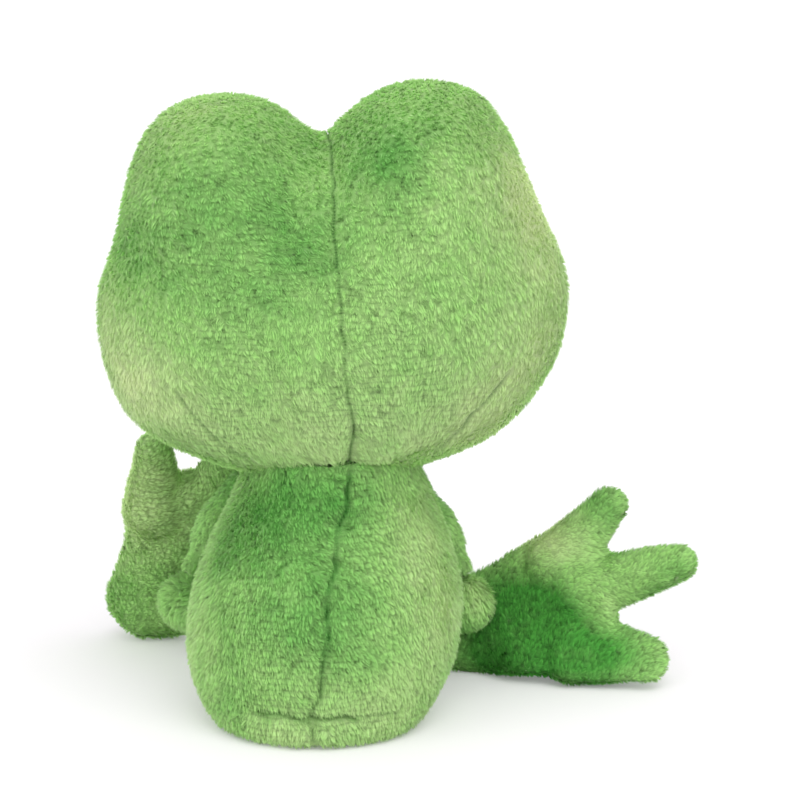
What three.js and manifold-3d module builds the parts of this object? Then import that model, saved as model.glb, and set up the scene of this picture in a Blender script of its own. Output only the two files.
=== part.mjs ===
// A small plush frog that sits on its seat with its legs forward, sewn from short-pile cloth.
// Millimetres, +Z up. The frog faces -Y and its left side is +X. The origin is the middle of its seat.
// Cloth panels are shells that meet at the seams, packed with fibre stuffing; the head turns and nods
// on a wad packed through the neck, the arms lift at the shoulders, the legs spread at the hips,
// and the three-toed feet turn on the ends of the legs.
import * as THREE from 'three';
import { mergeVertices } from 'three/addons/utils/BufferGeometryUtils.js';
import Module from 'manifold-3d';

const wasm = await Module();
wasm.setup();

// Cloth, seams and fits
const clothThickness = 2;
const fitGap = 0.3;
const seamGap = 0.3;
const overrun = 300;
const slopeStep = 0.06;
const weldTolerance = 1e-4;
const limbPocketSides = 12;

// Torso: a pear that stands on a flat seat
const torso = {
  bellyRadius: 35,
  rimHeight: 59.5,
  leanToRight: 3.3,
  bellyForward: 1.5,
  baseSeamHeight: 8.5,
  sideSeamBehind: -7,
  profileShares: [[0.7, 0], [0.82, 0.02], [0.925, 0.12], [0.985, 0.25], [1, 0.4],
    [0.97, 0.6], [0.89, 0.78], [0.77, 0.92], [0.66, 1]],
  sides: 28,
  rings: 12,
  coarseSides: 18,
  coarseRings: 9,
};

// Neck wad: a ball that the head and the torso both turn on
const neck = { radius: 22, height: 62, seamThread: 1.4, seamAbove: 1.1, sides: 20, threadSides: 6 };

// Head: a skull with a muzzle, two cheeks and two eye humps
const head = {
  x: -3, y: -3, z: 112,
  rollDegrees: 3.8,
  faceSeamBehind: -8,
  skullBehind: 2, skullBelow: 9, skullHalfWidth: 58.5, skullHalfDepth: 37, skullHalfHeight: 41,
  humpAcross: 25.2, humpBehind: 1, humpAbove: 21.5, humpHalfWidth: 25.5, humpHalfDepth: 28, humpHalfHeight: 27,
  muzzleForward: 14, muzzleBelow: 16, muzzleHalfWidth: 44, muzzleHalfDepth: 26, muzzleHalfHeight: 27,
  blendSharpness: 7.5,
  around: 32,
  rows: 20,
  coarseAround: 20,
  coarseRows: 12,
};
const humpSize = new THREE.Vector3(head.humpHalfWidth, head.humpHalfDepth, head.humpHalfHeight);
const lobes = [
  {
    at: new THREE.Vector3(0, head.skullBehind, -head.skullBelow),
    size: new THREE.Vector3(head.skullHalfWidth, head.skullHalfDepth, head.skullHalfHeight),
  },
  { at: new THREE.Vector3(head.humpAcross, head.humpBehind, head.humpAbove), size: humpSize },
  { at: new THREE.Vector3(-head.humpAcross, head.humpBehind, head.humpAbove), size: humpSize },
  {
    at: new THREE.Vector3(0, -head.muzzleForward, -head.muzzleBelow),
    size: new THREE.Vector3(head.muzzleHalfWidth, head.muzzleHalfDepth, head.muzzleHalfHeight),
  },
];

// Face: safety eyes on felt discs, an embroidered mouth and two nostrils
const face = {
  eyeAcross: 24, eyeForward: 26, eyeUp: 23,
  feltRadius: 9.5, feltThickness: 1.1,
  eyeRadius: 6.2, eyeRise: 4.2,
  stemRadius: 1.8, stemLength: 9,
  washerRadius: 5.6, washerThickness: 1.4, washerDepth: 4.8,
  mouthHalfWidth: 31, mouthMiddle: -13, mouthEndRise: 8, mouthThread: 1.7, threadProud: 0.8,
  nostrilAcross: 4.6, nostrilUp: 1.5, nostrilRadius: 1.3,
  discSides: 16,
  mouthSteps: 8,
};

// Arms: hung from the front of the shoulders, each with a three-fingered hand
const arm = {
  left: { x: 20.6, y: -26, z: 53.5, outwardDegrees: 31 },
  right: { x: -25.2, y: -26, z: 54, outwardDegrees: 28 },
  forwardDegrees: 10,
  rootRadius: 6, elbowRadius: 6.1, wristRadius: 5.3,
  upperLength: 11.4, foreLength: 5.3, elbowBack: 0.6, wristForward: 0.4,
  palmLong: 6.6, palmWide: 6.3, palmThick: 5,
  fingerLength: 6.2, fingerRootRadius: 3.1, fingerTipRadius: 2.5, fingerSpreadDegrees: 26,
  sides: 10, fingerSides: 7, innerSides: 8, innerFingerSides: 5,
};

// Legs: short tubes from the hips to the insteps
const leg = {
  hipRadius: 6.5, shaftRadius: 6.2, ankleRadius: 8.8,
  sides: 12,
  left: {
    x: 23.2, y: -31.6, z: 12.7, yawDegrees: 31, length: 26.2,
    soleYawDegrees: -21, leanDegrees: -22, turnDegrees: -23, heelDrop: 5,
  },
  right: {
    x: -20.2, y: -36.2, z: 19.6, yawDegrees: 112, length: 18.5,
    soleYawDegrees: -97, leanDegrees: 9, turnDegrees: -71, heelDrop: 0,
  },
};

// Feet: flat pads with three toes, sole forward, sewn to the leg at the heel
const foot = {
  ankleDepth: 2.3, ankleInside: 4.5, padOutside: 1,
  thick: 6.8, edgeRound: 9,
  outline: [[0, -15], [7.5, -13.4], [12, -8.5], [13.6, -1], [15, 8], [17.6, 17], [19.2, 24], [17.2, 30],
    [10.2, 35], [0, 36.5]],
  toeTipRadius: 4.6,
  toes: [
    { rootAcross: 0, rootForward: 27, rootRadius: 7.2, tipAcross: -0.3, tipForward: 58 },
    { rootAcross: 11.5, rootForward: 23, rootRadius: 7.2, tipAcross: 23, tipForward: 44.5 },
    { rootAcross: -9.5, rootForward: 24, rootRadius: 7.2, tipAcross: -20.5, tipForward: 43.5 },
  ],
  padAround: 14, padRows: 10, toeSides: 8,
  innerAround: 10, innerRows: 8, innerToeSides: 6,
};

// Seat weight
const pelletBag = { radius: 20, height: 12, flatShare: 0.8, sides: 16 };

const colours = {
  plush: 0x86bd66, stuffing: 0xf1efe8, cotton: 0xe6dfcf, eye: 0x0c0c0e, felt: 0xf6f5ee,
  darkThread: 0x23331f, greenThread: 0x5f9a4b, washer: 0xd9dadb,
};
const finishes = {
  plush: new THREE.MeshStandardMaterial({ color: colours.plush, roughness: 0.95, metalness: 0 }),
  stuffing: new THREE.MeshStandardMaterial({ color: colours.stuffing, roughness: 1, metalness: 0 }),
  cotton: new THREE.MeshStandardMaterial({ color: colours.cotton, roughness: 0.9, metalness: 0 }),
  eye: new THREE.MeshStandardMaterial({ color: colours.eye, roughness: 0.08, metalness: 0 }),
  felt: new THREE.MeshStandardMaterial({ color: colours.felt, roughness: 0.9, metalness: 0 }),
  darkThread: new THREE.MeshStandardMaterial({ color: colours.darkThread, roughness: 0.7, metalness: 0 }),
  greenThread: new THREE.MeshStandardMaterial({ color: colours.greenThread, roughness: 0.7, metalness: 0 }),
  washer: new THREE.MeshStandardMaterial({ color: colours.washer, roughness: 0.4, metalness: 0 }),
};

const degrees = THREE.MathUtils.degToRad;

// Solids

// Joins the shared corners of a geometry, drops faces with no area and turns the rest outward.
function solid(geometry) {
  const plain = new THREE.BufferGeometry();
  plain.setAttribute('position', geometry.getAttribute('position').clone());
  if (geometry.index) plain.setIndex(geometry.index.clone());
  const merged = mergeVertices(plain, weldTolerance);
  const source = merged.index.array;
  const kept = [];
  for (let i = 0; i < source.length; i += 3) {
    const [a, b, c] = [source[i], source[i + 1], source[i + 2]];
    if (a !== b && b !== c && c !== a) kept.push(a, b, c);
  }
  const places = merged.getAttribute('position').array;
  if (signedVolume(places, kept) < 0) kept.reverse();
  return new wasm.Manifold(new wasm.Mesh({
    numProp: 3,
    vertProperties: new Float32Array(places),
    triVerts: new Uint32Array(kept),
  }));
}

function signedVolume(places, corners) {
  const [a, b, c] = [new THREE.Vector3(), new THREE.Vector3(), new THREE.Vector3()];
  let total = 0;
  for (let i = 0; i < corners.length; i += 3) {
    a.fromArray(places, corners[i] * 3);
    b.fromArray(places, corners[i + 1] * 3);
    c.fromArray(places, corners[i + 2] * 3);
    total += a.dot(b.cross(c)) / 6;
  }
  return total;
}

function geometryOf(body) {
  const mesh = body.getMesh();
  const places = new Float32Array(mesh.numVert * 3);
  for (let i = 0; i < mesh.numVert; i += 1) {
    for (let k = 0; k < 3; k += 1) places[i * 3 + k] = mesh.vertProperties[i * mesh.numProp + k];
  }
  const geometry = new THREE.BufferGeometry();
  geometry.setAttribute('position', new THREE.BufferAttribute(places, 3));
  geometry.setIndex(new THREE.BufferAttribute(new Uint32Array(mesh.triVerts), 1));
  return geometry;
}

function joined(bodies) {
  return bodies.reduce((whole, body) => whole.add(body));
}

function moved(body, matrix) {
  return solid(geometryOf(body).applyMatrix4(matrix));
}

function ball(radius, around, rows, centre = new THREE.Vector3()) {
  const geometry = new THREE.SphereGeometry(radius, around, rows);
  return solid(geometry.translate(centre.x, centre.y, centre.z));
}

// A ball-shaped pocket whose flat facets clear a ball of the given radius however it turns.
function socket(radius, around, centre) {
  const facetShare = Math.cos(Math.PI / around) ** 2;
  return ball((radius + fitGap) / facetShare, around, around / 2, centre);
}

function egg(size, around, rows, centre) {
  const geometry = new THREE.SphereGeometry(1, around, rows);
  geometry.scale(size.x, size.y, size.z);
  return solid(geometry.translate(centre.x, centre.y, centre.z));
}

// A round bar with ball ends that swells or tapers from one radius to the other.
function taper(from, fromRadius, to, toRadius, sides) {
  const length = from.distanceTo(to);
  const capSteps = Math.max(3, Math.round(sides / 4));
  const profile = [];
  for (let i = 0; i <= capSteps; i += 1) {
    const angle = (Math.PI / 2) * (i / capSteps);
    profile.push(new THREE.Vector2(fromRadius * Math.sin(angle), -fromRadius * Math.cos(angle)));
  }
  for (let i = 0; i <= capSteps; i += 1) {
    const angle = (Math.PI / 2) * (i / capSteps);
    profile.push(new THREE.Vector2(toRadius * Math.cos(angle), length + toRadius * Math.sin(angle)));
  }
  profile[0].x = 0;
  profile[profile.length - 1].x = 0;
  const geometry = new THREE.LatheGeometry(profile, sides);
  const up = new THREE.Vector3(0, 1, 0);
  const turn = new THREE.Quaternion().setFromUnitVectors(up, to.clone().sub(from).normalize());
  geometry.applyQuaternion(turn);
  return solid(geometry.translate(from.x, from.y, from.z));
}

// A straight round bar between two points along a direction.
function rod(radius, from, along, startAt, endAt, sides) {
  const direction = along.clone().normalize();
  const geometry = new THREE.CylinderGeometry(radius, radius, endAt - startAt, sides);
  geometry.translate(0, (startAt + endAt) / 2, 0);
  geometry.applyQuaternion(new THREE.Quaternion().setFromUnitVectors(new THREE.Vector3(0, 1, 0), direction));
  return solid(geometry.translate(from.x, from.y, from.z));
}

// A block that fills one side of a plane: everything beyond `point` along `normal`.
function beyond(point, normal) {
  const geometry = new THREE.BoxGeometry(overrun * 2, overrun, overrun * 2);
  geometry.translate(0, overrun / 2, 0);
  const up = new THREE.Vector3(0, 1, 0);
  geometry.applyQuaternion(new THREE.Quaternion().setFromUnitVectors(up, normal.clone().normalize()));
  return solid(geometry.translate(point.x, point.y, point.z));
}

const side = {
  left: new THREE.Vector3(1, 0, 0),
  right: new THREE.Vector3(-1, 0, 0),
  back: new THREE.Vector3(0, 1, 0),
  front: new THREE.Vector3(0, -1, 0),
  up: new THREE.Vector3(0, 0, 1),
  down: new THREE.Vector3(0, 0, -1),
};

// The half of a body beyond a plane, drawn back from it by half a seam.
function halfBeyond(body, point, normal) {
  return body.intersect(beyond(point.clone().addScaledVector(normal, seamGap / 2), normal));
}

// Placing

function pieceOf(name, body, finish) {
  const mesh = new THREE.Mesh(geometryOf(body), finishes[finish].clone());
  mesh.name = name;
  mesh.geometry.computeVertexNormals();
  return mesh;
}

// The given body, in the group's own frame, cut flat at a height above the floor.
function cutFlat(body, group, height) {
  group.updateWorldMatrix(true, false);
  const under = beyond(new THREE.Vector3(0, 0, height), side.down);
  return body.subtract(moved(under, group.matrixWorld.clone().invert()));
}

// Torso

const neckCentre = new THREE.Vector3(-torso.leanToRight, 0, neck.height);

function torsoForm(inset, sides, rings) {
  const outline = new THREE.SplineCurve(torso.profileShares.map(
    ([radiusShare, heightShare]) => new THREE.Vector2(radiusShare * torso.bellyRadius, heightShare * torso.rimHeight),
  ));
  const points = outline.getPoints(rings).map((point) => point.clone());
  const centre = new THREE.Vector2(0, torso.rimHeight / 2);
  const drawn = points.map((point, i) => {
    const before = points[Math.max(i - 1, 0)];
    const after = points[Math.min(i + 1, points.length - 1)];
    const tangent = after.clone().sub(before).normalize();
    const normal = new THREE.Vector2(tangent.y, -tangent.x);
    if (normal.dot(point.clone().sub(centre)) < 0) normal.negate();
    return point.clone().addScaledVector(normal, -inset);
  });
  const bottom = inset;
  const top = torso.rimHeight - inset;
  const inside = drawn.map((point) => new THREE.Vector2(
    Math.max(point.x, 0),
    THREE.MathUtils.clamp(point.y, bottom, top),
  ));
  const profile = [new THREE.Vector2(0, bottom), ...inside, new THREE.Vector2(0, top)];
  profile[1].y = bottom;
  profile[profile.length - 2].y = top;
  const geometry = new THREE.LatheGeometry(profile, sides);
  geometry.rotateX(Math.PI / 2);
  const place = geometry.getAttribute('position');
  for (let i = 0; i < place.count; i += 1) {
    const share = THREE.MathUtils.smoothstep(place.getZ(i), 0, torso.rimHeight);
    place.setX(i, place.getX(i) - torso.leanToRight * share);
    const swell = Math.sin(Math.PI * THREE.MathUtils.clamp(place.getZ(i) / torso.rimHeight, 0, 1));
    place.setY(i, place.getY(i) - torso.bellyForward * swell);
  }
  return solid(geometry);
}

function neckSocket() {
  return socket(neck.radius, neck.sides, neckCentre);
}

// Arms

// The arm hangs along -Z of its own frame; +X points away from the body and -Y forward.
function armGroup(hand) {
  const place = hand > 0 ? arm.left : arm.right;
  const group = new THREE.Group();
  group.position.set(place.x, place.y, place.z);
  group.rotation.order = 'ZYX';
  group.rotation.set(0, -hand * degrees(place.outwardDegrees), -hand * degrees(arm.forwardDegrees));
  return group;
}

function armForm(inset, sides, fingerSides) {
  const shoulder = new THREE.Vector3();
  const elbow = new THREE.Vector3(0, arm.elbowBack, -arm.upperLength);
  const wrist = new THREE.Vector3(0, -arm.wristForward, -arm.upperLength - arm.foreLength);
  const parts = [
    taper(shoulder, arm.rootRadius - inset, elbow, arm.elbowRadius - inset, sides),
    taper(elbow, arm.elbowRadius - inset, wrist, arm.wristRadius - inset, sides),
    egg(new THREE.Vector3(arm.palmThick - inset, arm.palmWide - inset, arm.palmLong - inset), sides, sides / 2, wrist),
  ];
  for (const turn of [-1, 0, 1]) {
    const angle = turn * degrees(arm.fingerSpreadDegrees);
    const along = new THREE.Vector3(0, Math.sin(angle), -Math.cos(angle));
    const root = wrist.clone().addScaledVector(along, arm.palmWide - arm.fingerRootRadius);
    const tip = root.clone().addScaledVector(along, arm.fingerLength);
    parts.push(taper(root, arm.fingerRootRadius - inset, tip, arm.fingerTipRadius - inset, fingerSides));
  }
  return joined(parts);
}

// Legs and feet

function legGroup(hand) {
  const place = hand > 0 ? leg.left : leg.right;
  const group = new THREE.Group();
  group.position.set(place.x, place.y, place.z);
  group.rotation.z = hand * degrees(place.yawDegrees);
  return group;
}

function legForm(inset, length, sides) {
  const ankle = new THREE.Vector3(0, -length, 0);
  return taper(new THREE.Vector3(), leg.hipRadius - inset, ankle, leg.shaftRadius - inset, sides)
    .add(ball(leg.ankleRadius - inset, sides, sides / 2, ankle));
}

const footMiddle = leg.ankleRadius - foot.ankleDepth + foot.thick;

// The foot's frame is the ankle's: toes along +Z, outer side along +X on the left foot, sole towards -Y.
function footGroup(hand) {
  const place = hand > 0 ? leg.left : leg.right;
  const group = new THREE.Group();
  group.position.set(0, -place.length, 0);
  group.rotation.order = 'ZXY';
  group.rotation.set(degrees(place.leanDegrees), degrees(place.turnDegrees), hand * degrees(place.soleYawDegrees));
  return group;
}

// The pad without its toes: a flat cushion as wide as its outline, with round edges.
function padForm(inset, around, rows, heel) {
  const outline = new THREE.SplineCurve(foot.outline.map(([wide, forward]) => new THREE.Vector2(wide, forward)));
  const points = outline.getPoints(rows);
  const [first, last] = [points[0], points[points.length - 1]];
  const [middle, reach] = [(first.y + last.y) / 2, (last.y - first.y) / 2];
  for (const point of points) {
    point.x = Math.max(point.x - inset, 0);
    point.y = middle + (point.y - middle) * (1 - inset / reach);
  }
  first.x = 0;
  last.x = 0;
  const geometry = new THREE.LatheGeometry(points, around);
  geometry.rotateX(Math.PI / 2);
  const place = geometry.getAttribute('position');
  for (let i = 0; i < place.count; i += 1) {
    const wide = Math.hypot(place.getX(i), place.getY(i));
    const edge = 1 - Math.min(1, wide / foot.edgeRound);
    const thick = (foot.thick - inset) * Math.sqrt(1 - edge * edge);
    if (wide > weldTolerance) place.setY(i, (place.getY(i) / wide) * thick);
  }
  return solid(geometry.translate(heel.x, heel.y, heel.z));
}

function footForm(inset, hand, around, rows, toeSides) {
  const { heelDrop } = hand > 0 ? leg.left : leg.right;
  const at = (across, forward) => (
    new THREE.Vector3(hand * (across + foot.ankleInside), -footMiddle, forward - heelDrop)
  );
  const parts = [padForm(inset, around, rows, at(foot.padOutside, 0))];
  for (const toe of foot.toes) {
    parts.push(taper(
      at(toe.rootAcross, toe.rootForward), toe.rootRadius - inset,
      at(toe.tipAcross, toe.tipForward), foot.toeTipRadius - inset, toeSides,
    ));
  }
  return joined(parts);
}

// Head

function fieldAt(point) {
  let total = 0;
  for (const lobe of lobes) {
    const distance = point.clone().sub(lobe.at).divide(lobe.size).length();
    total += Math.exp(head.blendSharpness * (1 - distance));
  }
  return total - 1;
}

// How far the head's skin lies from its centre in a direction.
function skinAlong(direction) {
  let near = 0;
  let far = overrun;
  for (let step = 0; step < 40; step += 1) {
    const middle = (near + far) / 2;
    if (fieldAt(direction.clone().multiplyScalar(middle)) > 0) near = middle;
    else far = middle;
  }
  return (near + far) / 2;
}

function skinNormal(point) {
  const slope = [side.left, side.back, side.up].map((axis) => (
    fieldAt(point.clone().addScaledVector(axis, -slopeStep)) - fieldAt(point.clone().addScaledVector(axis, slopeStep))
  ));
  return new THREE.Vector3(...slope).normalize();
}

function headForm(offset, around, rows) {
  const geometry = new THREE.SphereGeometry(1, around, rows);
  const place = geometry.getAttribute('position');
  const direction = new THREE.Vector3();
  for (let i = 0; i < place.count; i += 1) {
    direction.fromBufferAttribute(place, i).normalize();
    const skin = direction.clone().multiplyScalar(skinAlong(direction));
    skin.addScaledVector(skinNormal(skin), offset);
    place.setXYZ(i, skin.x, skin.y, skin.z);
  }
  return solid(geometry);
}

// The part of the cloth-hugging layer between two offsets that lies inside a body.
function layerInside(from, to, body) {
  const outer = headForm(to, head.around, head.rows).intersect(body);
  return outer.subtract(headForm(from, head.around, head.rows));
}

function mouthBand(width, depthFrom) {
  const outline = new THREE.Shape();
  const upper = [];
  const lower = [];
  for (let i = 0; i <= face.mouthSteps; i += 1) {
    const share = (i / face.mouthSteps) * 2 - 1;
    const x = share * face.mouthHalfWidth;
    const z = face.mouthMiddle + face.mouthEndRise * share * share;
    upper.push(new THREE.Vector2(x, z + width / 2));
    lower.push(new THREE.Vector2(x, z - width / 2));
  }
  outline.setFromPoints([...lower, ...upper.reverse()]);
  const geometry = new THREE.ExtrudeGeometry(outline, { depth: overrun, bevelEnabled: false });
  geometry.rotateX(Math.PI / 2);
  return solid(geometry.translate(0, -depthFrom, 0));
}

// The half of the head below the mouth line, for the chin panel.
function belowMouth(raise) {
  const outline = new THREE.Shape();
  const line = [];
  for (let i = 0; i <= face.mouthSteps; i += 1) {
    const share = (i / face.mouthSteps) * 2 - 1;
    const x = share * face.mouthHalfWidth;
    line.push(new THREE.Vector2(x, face.mouthMiddle + face.mouthEndRise * share * share + raise));
  }
  const endHeight = face.mouthMiddle + face.mouthEndRise + raise;
  outline.setFromPoints([
    new THREE.Vector2(-overrun, -overrun), new THREE.Vector2(overrun, -overrun),
    new THREE.Vector2(overrun, endHeight), ...line.reverse(), new THREE.Vector2(-overrun, endHeight),
  ]);
  const geometry = new THREE.ExtrudeGeometry(outline, { depth: overrun * 2, bevelEnabled: false });
  geometry.translate(0, 0, -overrun);
  return solid(geometry.rotateX(Math.PI / 2));
}

function eyePlace(hand) {
  const aim = new THREE.Vector3(hand * face.eyeAcross, -face.eyeForward, face.eyeUp).normalize();
  const point = aim.clone().multiplyScalar(skinAlong(aim));
  return { point, outward: skinNormal(point) };
}

function eyeBody(hand) {
  const { point, outward } = eyePlace(hand);
  const seat = fitGap * 2 + face.feltThickness;
  const profile = [];
  const steps = 6;
  for (let i = 0; i <= steps; i += 1) {
    const angle = (Math.PI / 2) * (i / steps);
    profile.push(new THREE.Vector2(face.eyeRadius * Math.sin(angle), seat + face.eyeRise * Math.cos(angle)));
  }
  profile[0].x = 0;
  profile.push(new THREE.Vector2(face.eyeRadius, -face.eyeRise), new THREE.Vector2(0, -face.eyeRise));
  const geometry = new THREE.LatheGeometry(profile, face.discSides);
  geometry.applyQuaternion(new THREE.Quaternion().setFromUnitVectors(new THREE.Vector3(0, 1, 0), outward));
  const dome = solid(geometry.translate(point.x, point.y, point.z))
    .subtract(headForm(seat, head.around, head.rows));
  return dome.add(rod(face.stemRadius, point, outward, -face.stemLength, seat + face.eyeRise / 2, face.discSides / 2));
}

function eyeWasher(hand) {
  const { point, outward } = eyePlace(hand);
  const deep = -face.washerDepth;
  const disc = rod(face.washerRadius, point, outward, deep - face.washerThickness, deep, face.discSides);
  return disc.subtract(rod(face.stemRadius + fitGap, point, outward, -overrun, 0, face.discSides / 2));
}

function eyeHole(hand, radius, depth) {
  const { point, outward } = eyePlace(hand);
  return rod(radius, point, outward, -depth, overrun, face.discSides);
}

// Assembly

const frog = new THREE.Group();

const leftArm = armGroup(1);
const rightArm = armGroup(-1);
const leftLeg = legGroup(1);
const rightLeg = legGroup(-1);
const leftFoot = footGroup(1);
const rightFoot = footGroup(-1);
leftLeg.add(leftFoot);
rightLeg.add(rightFoot);
const headGroup = new THREE.Group();
headGroup.position.set(head.x, head.y, head.z);
headGroup.rotation.y = degrees(head.rollDegrees);
frog.add(leftArm, rightArm, leftLeg, rightLeg, headGroup);
frog.updateMatrixWorld(true);

function bagForm(grow) {
  const flat = pelletBag.radius * pelletBag.flatShare + grow;
  const geometry = new THREE.LatheGeometry([
    new THREE.Vector2(0, -grow), new THREE.Vector2(flat, -grow),
    new THREE.Vector2(pelletBag.radius + grow, pelletBag.height / 2),
    new THREE.Vector2(flat, pelletBag.height + grow), new THREE.Vector2(0, pelletBag.height + grow),
  ], pelletBag.sides);
  return solid(geometry.rotateX(Math.PI / 2));
}

function buildTorso() {
  const sockets = joined([
    neckSocket(),
    socket(arm.rootRadius, limbPocketSides, leftArm.position),
    socket(arm.rootRadius, limbPocketSides, rightArm.position),
    socket(leg.hipRadius, limbPocketSides, leftLeg.position),
    socket(leg.hipRadius, limbPocketSides, rightLeg.position),
  ]);
  const skin = torsoForm(0, torso.sides, torso.rings)
    .subtract(torsoForm(clothThickness, torso.coarseSides, torso.coarseRings)).subtract(sockets);
  const seam = new THREE.Vector3(0, torso.sideSeamBehind, torso.baseSeamHeight);
  const walls = halfBeyond(skin, seam, side.up);
  const back = halfBeyond(walls, seam, side.back);
  const middle = new THREE.Vector3();
  frog.add(
    pieceOf('body_back_left', halfBeyond(back, middle, side.left), 'plush'),
    pieceOf('body_back_right', halfBeyond(back, middle, side.right), 'plush'),
    pieceOf('belly_panel', halfBeyond(walls, seam, side.front), 'plush'),
    pieceOf('base_panel', halfBeyond(skin, seam, side.down), 'plush'),
  );
  const rest = clothThickness + fitGap;
  const stuffing = torsoForm(clothThickness + fitGap, torso.coarseSides, torso.coarseRings)
    .subtract(sockets).subtract(bagForm(fitGap).translate(0, 0, rest));
  frog.add(
    pieceOf('body_stuffing', stuffing, 'stuffing'),
    pieceOf('pellet_bag', bagForm(0).translate(0, 0, rest), 'cotton'),
  );
}

function buildNeck() {
  frog.add(pieceOf('neck_stuffing', ball(neck.radius, neck.sides, neck.sides / 2, neckCentre), 'stuffing'));
  const radius = neck.radius + fitGap + neck.seamThread / 2;
  const ring = new THREE.TorusGeometry(radius, neck.seamThread / 2, neck.threadSides, neck.sides);
  ring.translate(neckCentre.x, neckCentre.y, torso.rimHeight + neck.seamAbove);
  frog.add(pieceOf('neck_seam', solid(ring), 'greenThread'));
}

function buildHead() {
  const pocket = moved(neckSocket(), headGroup.matrixWorld.clone().invert());
  const holes = joined([1, -1].map((hand) => eyeHole(hand, face.stemRadius + fitGap, face.stemLength + fitGap)));
  const skin = headForm(0, head.around, head.rows)
    .subtract(headForm(-clothThickness, head.coarseAround, head.coarseRows))
    .subtract(pocket);
  const seam = new THREE.Vector3(0, head.faceSeamBehind, 0);
  const middle = new THREE.Vector3();
  const back = halfBeyond(skin, seam, side.back);
  const front = halfBeyond(skin, seam, side.front).subtract(holes);
  headGroup.add(
    pieceOf('head_back_left', halfBeyond(back, middle, side.left), 'plush'),
    pieceOf('head_back_right', halfBeyond(back, middle, side.right), 'plush'),
    pieceOf('face_panel', front.subtract(belowMouth(seamGap / 2)), 'plush'),
    pieceOf('chin_panel', front.intersect(belowMouth(-seamGap / 2)), 'plush'),
  );
  const washerRoom = joined([1, -1].map((hand) => {
    const { point, outward } = eyePlace(hand);
    const deep = face.washerDepth + face.washerThickness + fitGap;
    return rod(face.washerRadius + fitGap, point, outward, -deep, overrun, face.discSides);
  }));
  const stuffing = headForm(-clothThickness - fitGap, head.coarseAround, head.coarseRows)
    .subtract(pocket).subtract(holes).subtract(washerRoom);
  headGroup.add(pieceOf('head_stuffing', stuffing, 'stuffing'));
  for (const [hand, name] of [[1, 'left'], [-1, 'right']]) {
    const felt = layerInside(fitGap, fitGap + face.feltThickness, eyeHole(hand, face.feltRadius, 0))
      .subtract(eyeHole(hand, face.stemRadius + fitGap, face.stemLength));
    headGroup.add(
      pieceOf(`${name}_eye_felt`, felt, 'felt'),
      pieceOf(`${name}_eye`, eyeBody(hand), 'eye'),
      pieceOf(`${name}_eye_washer`, eyeWasher(hand), 'washer'),
    );
    const nostril = rod(
      face.nostrilRadius, new THREE.Vector3(hand * face.nostrilAcross, 0, face.nostrilUp),
      side.front, 0, overrun, face.discSides / 2,
    );
    headGroup.add(pieceOf(`${name}_nostril`, layerInside(fitGap, fitGap + face.threadProud, nostril), 'darkThread'));
  }
  const thread = layerInside(fitGap, fitGap + face.threadProud, mouthBand(face.mouthThread, 0));
  headGroup.add(pieceOf('mouth_thread', thread, 'darkThread'));
}

// The given body, in the group's own frame, pressed flat where it would lie in the torso.
function pressedByTorso(body, group, rootRadius) {
  const room = torsoForm(-fitGap, torso.sides, torso.rings)
    .subtract(socket(rootRadius, limbPocketSides, group.position));
  return body.subtract(moved(room, group.matrixWorld.clone().invert()));
}

function buildArm(group, hand, name) {
  const outer = pressedByTorso(armForm(0, arm.sides, arm.fingerSides), group, arm.rootRadius);
  const skin = outer.subtract(armForm(clothThickness, arm.innerSides, arm.innerFingerSides));
  const middle = new THREE.Vector3();
  group.add(
    pieceOf(`${name}_arm_outer`, halfBeyond(skin, middle, hand > 0 ? side.left : side.right), 'plush'),
    pieceOf(`${name}_arm_inner`, halfBeyond(skin, middle, hand > 0 ? side.right : side.left), 'plush'),
    pieceOf(`${name}_arm_stuffing`, armForm(clothThickness + fitGap, arm.innerSides, arm.innerFingerSides), 'stuffing'),
  );
}

function buildLeg(group, hand, name) {
  const { length } = hand > 0 ? leg.left : leg.right;
  const opening = rod(leg.hipRadius - clothThickness, new THREE.Vector3(), side.back, 0, overrun, leg.sides);
  const skin = pressedByTorso(legForm(0, length, leg.sides), group, leg.hipRadius)
    .subtract(legForm(clothThickness, length, leg.sides)).subtract(opening);
  group.add(
    pieceOf(`${name}_leg_tube`, skin, 'plush'),
    pieceOf(`${name}_leg_stuffing`, legForm(clothThickness + fitGap, length, leg.sides), 'stuffing'),
  );
}

function buildFoot(group, hand, name) {
  const pocket = socket(leg.ankleRadius, limbPocketSides, new THREE.Vector3());
  const outer = footForm(0, hand, foot.padAround, foot.padRows, foot.toeSides);
  const inner = footForm(clothThickness, hand, foot.innerAround, foot.innerRows, foot.innerToeSides);
  const skin = cutFlat(outer, group, 0).subtract(cutFlat(inner, group, clothThickness)).subtract(pocket);
  const middle = new THREE.Vector3(0, -footMiddle, 0);
  const stuffing = footForm(clothThickness + fitGap, hand, foot.innerAround, foot.innerRows, foot.innerToeSides);
  group.add(
    pieceOf(`${name}_foot_upper`, halfBeyond(skin, middle, side.back), 'plush'),
    pieceOf(`${name}_foot_sole`, halfBeyond(skin, middle, side.front), 'plush'),
    pieceOf(
      `${name}_foot_stuffing`,
      cutFlat(stuffing, group, clothThickness + fitGap).subtract(pocket),
      'stuffing',
    ),
  );
}

buildTorso();
buildNeck();
buildHead();
buildArm(leftArm, 1, 'left');
buildArm(rightArm, -1, 'right');
buildLeg(leftLeg, 1, 'left');
buildLeg(rightLeg, -1, 'right');
buildFoot(leftFoot, 1, 'left');
buildFoot(rightFoot, -1, 'right');
frog.updateMatrixWorld(true);

export default frog;
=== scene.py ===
import math
from itertools import product

import bmesh
import bpy
import numpy as np
from mathutils import Matrix, Vector
from mathutils.kdtree import KDTree


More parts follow.
